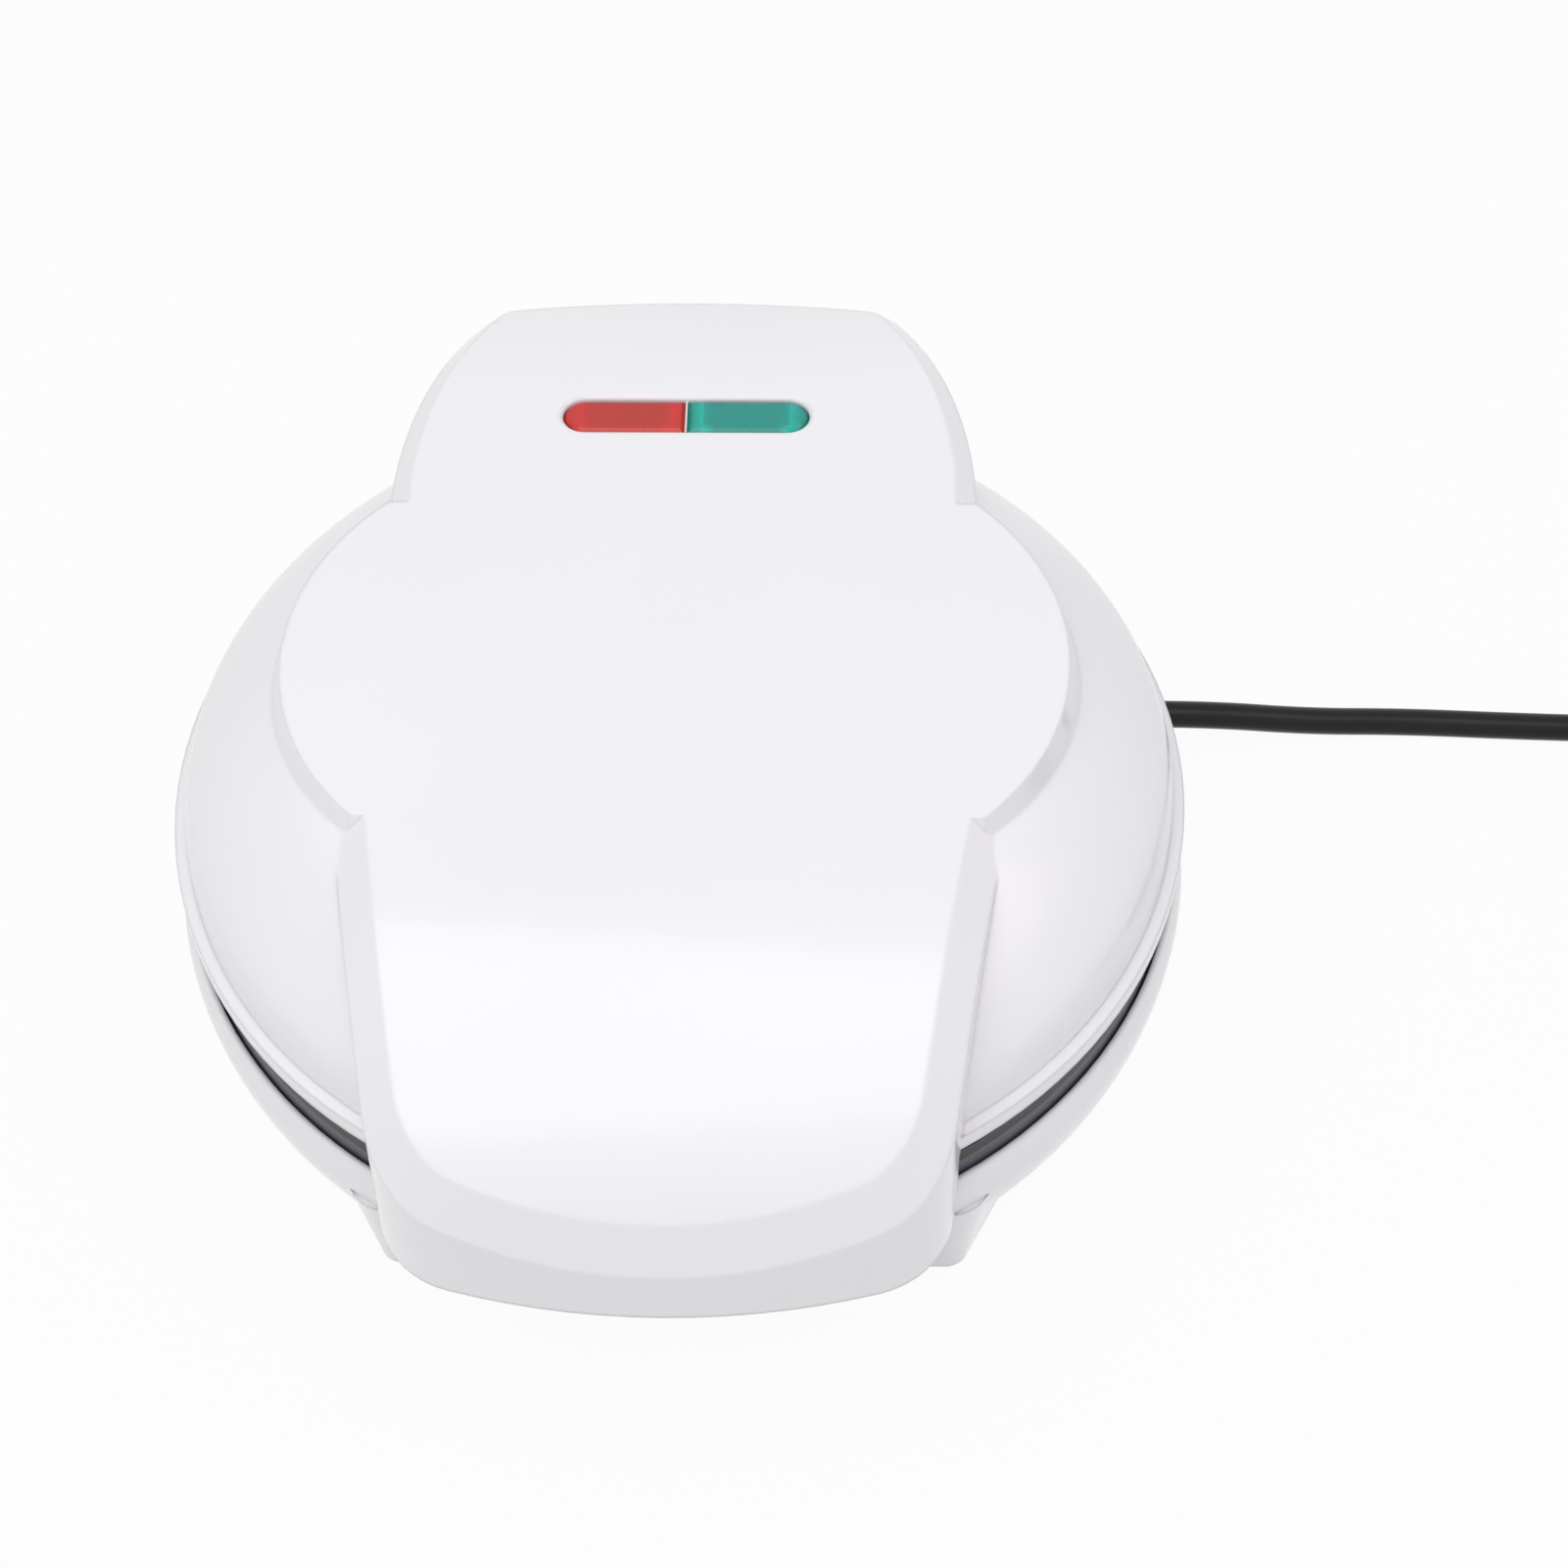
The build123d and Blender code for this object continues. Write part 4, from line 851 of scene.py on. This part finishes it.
@dataclass
class BaseAssembly:
    """The resting half: bowl, feet, cover, lower plate with its heater, and the wiring."""

    dresser: Dresser

    def build(self) -> None:
        """Dress every node of the base except the cord's."""
        self.dresser.dress("base_shell", WHITE_GLOSS, Fit.SMOOTH)
        self.dresser.dress("bottom_cover", WHITE_COVER, Fit.SMOOTH)
        self.dresser.dress("rubber_feet", FOOT_RUBBER, Fit.SMOOTH)
        self.dresser.dress("lower_plate", LOWER_COATING, Fit.SMOOTH)
        for node in ("bottom_cover_screws", "lower_plate_screws", "lower_clamp_screws", "hinge_pins"):
            self.dresser.dress(node, SCREW_STEEL, Fit.SMOOTH)
        self.dresser.dress("lower_heater", HEATER_STEEL, Fit.SMOOTH)
        self.dresser.dress("lower_heater_clamps", HEATER_STEEL)
        self.dresser.dress("lower_heat_shield", SHIELD_SHEET, Fit.SMOOTH)
        self.dresser.dress("thermostat", TAN_RESIN, Fit.SMOOTH)
        self.dresser.dress("terminal_block", TAN_RESIN)
        self.dresser.dress("thermal_fuse", GLASS_SLEEVE, Fit.SMOOTH)
        self.dresser.dress("base_leads", GLASS_SLEEVE, Fit.SMOOTH)


@dataclass
class MainsCord:
    """The lead from its bush to the plug: a free run, a two-layer coil and a short tail.

    Sizes and points are in millimetres.
    """

    dresser: Dresser
    diameter: float = 6.2
    route: tuple = (
        (106.0, 57.2, 9.2),
        (118.0, 57.2, 9.2),
        (141.0, 59.3, 4.5),
        (163.0, 60.6, 3.1),
        (189.0, 59.3, 3.1),
        (216.0, 58.5, 3.1),
        (240.0, 58.5, 3.1),
    )
    start: tuple = (246.2, 58.5, 3.1)
    inner_radius: float = 26.0
    gap: float = 0.7
    layer_gap: float = 0.6
    quarters_in: int = 6
    quarters_climb: int = 2
    quarters_out: int = 5
    points_per_quarter: int = 4
    tail: float = 34.0
    skin_steps: int = 7
    line_steps: int = 8
    plug_length: float = 36.0
    plug_stations: int = 73
    plug_points: int = 64
    boot_length: float = 14.0
    boot_radius: float = 4.1
    rib_height: float = 0.35
    rib_pitch: float = 2.8
    shoulder: float = 5.0
    waist_start: float = 6.0
    waist_length: float = 14.0
    waist_depth: float = 0.07
    nose_length: float = 1.5
    nose_draw: float = 0.06
    round_power: float = 2.0
    square_more: float = 3.0

    def turns(self, quarters: np.ndarray, outside: float = 1.0) -> np.ndarray:
        """Points round the coil: inwards on the table, up where it turns back, and outwards on top.

        The radius is the inner radius plus a quarter of the turns' pitch for each quarter turn away
        from the middle of the climb. The height rises by one layer on a half cosine during the climb.
        The angle goes clockwise from the coil's rear, a quarter turn for each quarter.

        Args:
            quarters: Quarter turns from the coil's start.
            outside: Factor on the radius.

        Returns:
            Points in millimetres.
        """
        middle = self.quarters_in + self.quarters_climb / 2
        step = (self.diameter + self.gap) / 4
        radius = (self.inner_radius + step * np.abs(quarters - middle)) * outside
        climb = np.clip((quarters - self.quarters_in) / self.quarters_climb, 0, 1)
        height = (self.diameter + self.layer_gap) * (1 - np.cos(pi * climb)) / 2
        angle = pi / 2 - quarters * pi / 2
        centre_y = self.start[1] - self.inner_radius - step * middle
        x = self.start[0] + radius * np.cos(angle)
        y = centre_y + radius * np.sin(angle)
        return np.stack([x, y, self.start[2] + height], 1)

    def build(self) -> None:
        """Build the cord as one smooth curve, and dress its bush and plug."""
        total = self.quarters_in + self.quarters_climb + self.quarters_out
        between = (np.arange(total * self.points_per_quarter) + 0.5) / self.points_per_quarter
        # control points stand where neighbouring tangents of the turns meet, a little outside them
        coil = self.turns(between, 1 / cos(pi / 4 / self.points_per_quarter))
        end = self.turns(np.array([total]))[0] - np.array([0, self.tail, 0])
        run = np.concatenate([np.array(self.route), coil, [end]]) * MM
        curve = bpy.data.curves.new("mains_cord", "CURVE")
        curve.dimensions = "3D"
        curve.bevel_depth = self.diameter / 2 * MM
        curve.bevel_resolution = self.skin_steps
        curve.use_fill_caps = True
        line = curve.splines.new("NURBS")
        line.points.add(len(run) - 1)
        line.points.foreach_set("co", np.concatenate([run, np.ones((len(run), 1))], 1).ravel())
        line.order_u = 3
        line.use_endpoint_u = True
        line.resolution_u = self.line_steps
        cord = bpy.data.objects.new("mains_cord", curve)
        bpy.context.scene.collection.objects.link(cord)
        cord.data.materials.append(self.dresser.material(CORD_JACKET))
        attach(cord, "base")
        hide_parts("cord_lead", "cord_coil")
        slot_name("cord_lead")
        plug = self.plug(end)
        bush = self.dresser.dress("strain_relief", CORD_JACKET, Fit.SMOOTH)
        blades = self.dresser.dress("plug_blades", BLADE_BRASS)
        log.info("the cord has %d control points", len(run))

    def plug(self, end: np.ndarray) -> bpy.types.Object:
        """The plug: superellipses carried along -Y, slim and ribbed in the boot, full in the body.

        Half sizes go from the boot's radius, plus a cosine for the ribs, to the body's over the
        shoulder on a smooth step. The width draws in by a squared sine at the waist, and both draw in
        along a quarter circle at the nose. The superellipse's power rises with the shoulder too.

        Args:
            end: The cord's end in millimetres.

        Returns:
            The plug's object.
        """
        low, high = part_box("plug_body")
        half_x = (high.x - low.x) / 2 / MM
        half_z = (high.z - low.z) / 2 / MM
        along = np.linspace(0, self.plug_length, self.plug_stations)
        past_boot = along - self.boot_length
        into = np.clip(past_boot / self.shoulder, 0, 1)
        swell = into * into * (3 - 2 * into)
        ribs = self.rib_height * np.cos(along * 2 * pi / self.rib_pitch) * (past_boot < -1)
        at_waist = np.clip((past_boot - self.waist_start) / self.waist_length, 0, 1)
        waist = 1 - self.waist_depth * np.sin(at_waist * pi) ** 2
        face = np.clip((self.plug_length - along) / self.nose_length, 0, 1)
        ease = 1 - self.nose_draw * (1 - np.sqrt(1 - (1 - face) ** 2))
        boot = (self.boot_radius + ribs) * (1 - swell)
        wide = (boot + half_x * swell * waist) * ease
        tall = (boot + half_z * swell) * ease
        square = self.round_power + self.square_more * swell
        turn = np.linspace(0, 2 * pi, self.plug_points, endpoint=False)
        c, s = np.cos(turn)[None, :], np.sin(turn)[None, :]
        power = (2 / square)[:, None]
        x = end[0] + wide[:, None] * np.sign(c) * np.abs(c) ** power
        z = end[2] + tall[:, None] * np.sign(s) * np.abs(s) ** power
        y = np.broadcast_to((end[1] - along)[:, None], x.shape)
        points, faces = tube_skin(np.stack([x, y, z], -1) * MM)
        made = add_mesh("plug_shell", points, faces)
        made.data.materials.append(self.dresser.material(CORD_JACKET))
        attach(made, "base")
        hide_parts("plug_body")
        slot_name("plug_body")
        return made


@dataclass
class Studio:
    """Camera, lamps, floor and world.

    The camera's place is in millimetres, the rest in metres. A lamp has a name, a place, its side, its
    power in watts and its tint.
    """

    focal_pixels: float = 3500.0
    sensor: float = 36.0
    position: tuple = (34.9, -455.9, 603.7)
    right: tuple = (0.99982, 0.01578, -0.01082)
    up: tuple = (-0.00526, 0.77046, 0.63748)
    back: tuple = (0.01839, -0.63731, 0.77040)
    near: float = 0.01
    far: float = 20.0
    sky: float = 0.56
    floor_half: float = 4.0
    floor_drop: float = 0.02 * MM
    floor_grey: float = 0.72
    floor_white: float = 0.94
    aim: tuple = (0.0, -0.02, 0.06)
    lamps: tuple = (
        ("softbox", (-0.25, -0.3, 1.15), 1.3, 6.8, (1.0, 1.0, 1.0)),
        ("front_fill", (-0.4, -1.1, 0.85), 0.9, 1.1, (1.0, 1.0, 1.0)),
        ("right_fill", (0.9, -0.2, 0.95), 0.8, 2.3, (1.0, 0.9, 1.0)),
    )

    def camera(self) -> None:
        """Stand the camera where the photograph was taken from."""
        data = bpy.data.cameras.new("photo_camera")
        data.sensor_width = self.sensor
        data.sensor_fit = "HORIZONTAL"
        data.lens = self.focal_pixels / PHOTO_PIXELS * self.sensor
        data.clip_start = self.near
        data.clip_end = self.far
        made = bpy.data.objects.new("photo_camera", data)
        axes = zip(self.right, self.up, self.back)
        rows = [[*row, at * MM] for row, at in zip(axes, self.position)]
        made.matrix_world = Matrix([*rows, [0, 0, 0, 1]])
        bpy.context.scene.collection.objects.link(made)
        bpy.context.scene.camera = made

    def lamp(self, name: str, at: tuple, size: float, power: float, tint: tuple) -> None:
        """Add one soft square lamp that faces the cooker.

        Args:
            name: The lamp's name.
            at: Where it hangs, in metres.
            size: Its side in metres.
            power: Its power in watts.
            tint: Its colour.
        """
        data = bpy.data.lights.new(name, "AREA")
        data.size = size
        data.energy = power
        data.color = tint
        made = bpy.data.objects.new(name, data)
        made.location = at
        away = Vector(at) - Vector(self.aim)
        made.rotation_mode = "QUATERNION"
        made.rotation_quaternion = away.to_track_quat("Z", "Y")
        bpy.context.scene.collection.objects.link(made)

    def seen_white(self, name: str, share: float) -> bpy.types.Material:
        """A matt white that looks white to the camera and in mirrors, and still takes some shadow.

        Args:
            name: The material's name.
            share: How much of the plain white replaces the lit floor.

        Returns:
            The material.
        """
        sh = Shader(name)
        seen = sh.background_rays()
        grey = (self.floor_grey,) * 3 + (1,)
        matt = sh.node("ShaderNodeBsdfDiffuse", {}, {"Color": grey})
        glow = sh.node("ShaderNodeEmission", {}, {"Color": (1, 1, 1, 1), "Strength": 1.0})
        mixed = sh.node("ShaderNodeMixShader", {}, {0: seen * share, 1: matt, 2: glow})
        sh.node("ShaderNodeOutputMaterial", {}, {"Surface": mixed})
        return sh.material

    def floor(self) -> None:
        """A wide pale floor just under the feet."""
        corners = np.array([[-1, -1], [1, -1], [1, 1], [-1, 1]]) * self.floor_half
        points = np.column_stack([corners, np.full(len(corners), -self.floor_drop)])
        made = add_mesh("studio_floor", points, [[0, 1, 2, 3]])
        made.data.materials.append(self.seen_white("floor_white", self.floor_white))

    def world(self) -> None:
        """An even pale surround that the camera sees as white."""
        bpy.context.scene.world = bpy.data.worlds.new("surround")
        sh = Shader("surround", bpy.context.scene.world)
        lit = sh.node("ShaderNodeBackground", {}, {"Color": (1, 1, 1, 1), "Strength": self.sky})
        seen = sh.node("ShaderNodeBackground", {}, {"Color": (1, 1, 1, 1), "Strength": 1.0})
        mixed = sh.node("ShaderNodeMixShader", {}, {0: sh.background_rays(), 1: lit, 2: seen})
        sh.node("ShaderNodeOutputWorld", {}, {"Surface": mixed})

    def build(self) -> None:
        """Set up the studio."""
        bpy.context.scene.view_settings.view_transform = "Standard"
        self.camera()
        self.floor()
        self.world()
        for lamp in self.lamps:
            self.lamp(*lamp)


def main() -> None:
    """Build the classes in order."""
    logging.basicConfig(level=logging.INFO, format="%(message)s")
    Studio().build()
    dresser = Dresser()
    MainsCord(dresser).build()
    LidAssembly(dresser).build()
    LensRib(dresser).build()
    IndicatorLens(dresser, "red_lens", RED_TINT).build()
    IndicatorLens(dresser, "green_lens", GREEN_TINT).build()
    BaseAssembly(dresser).build()


if __name__ == "__main__":
    main()
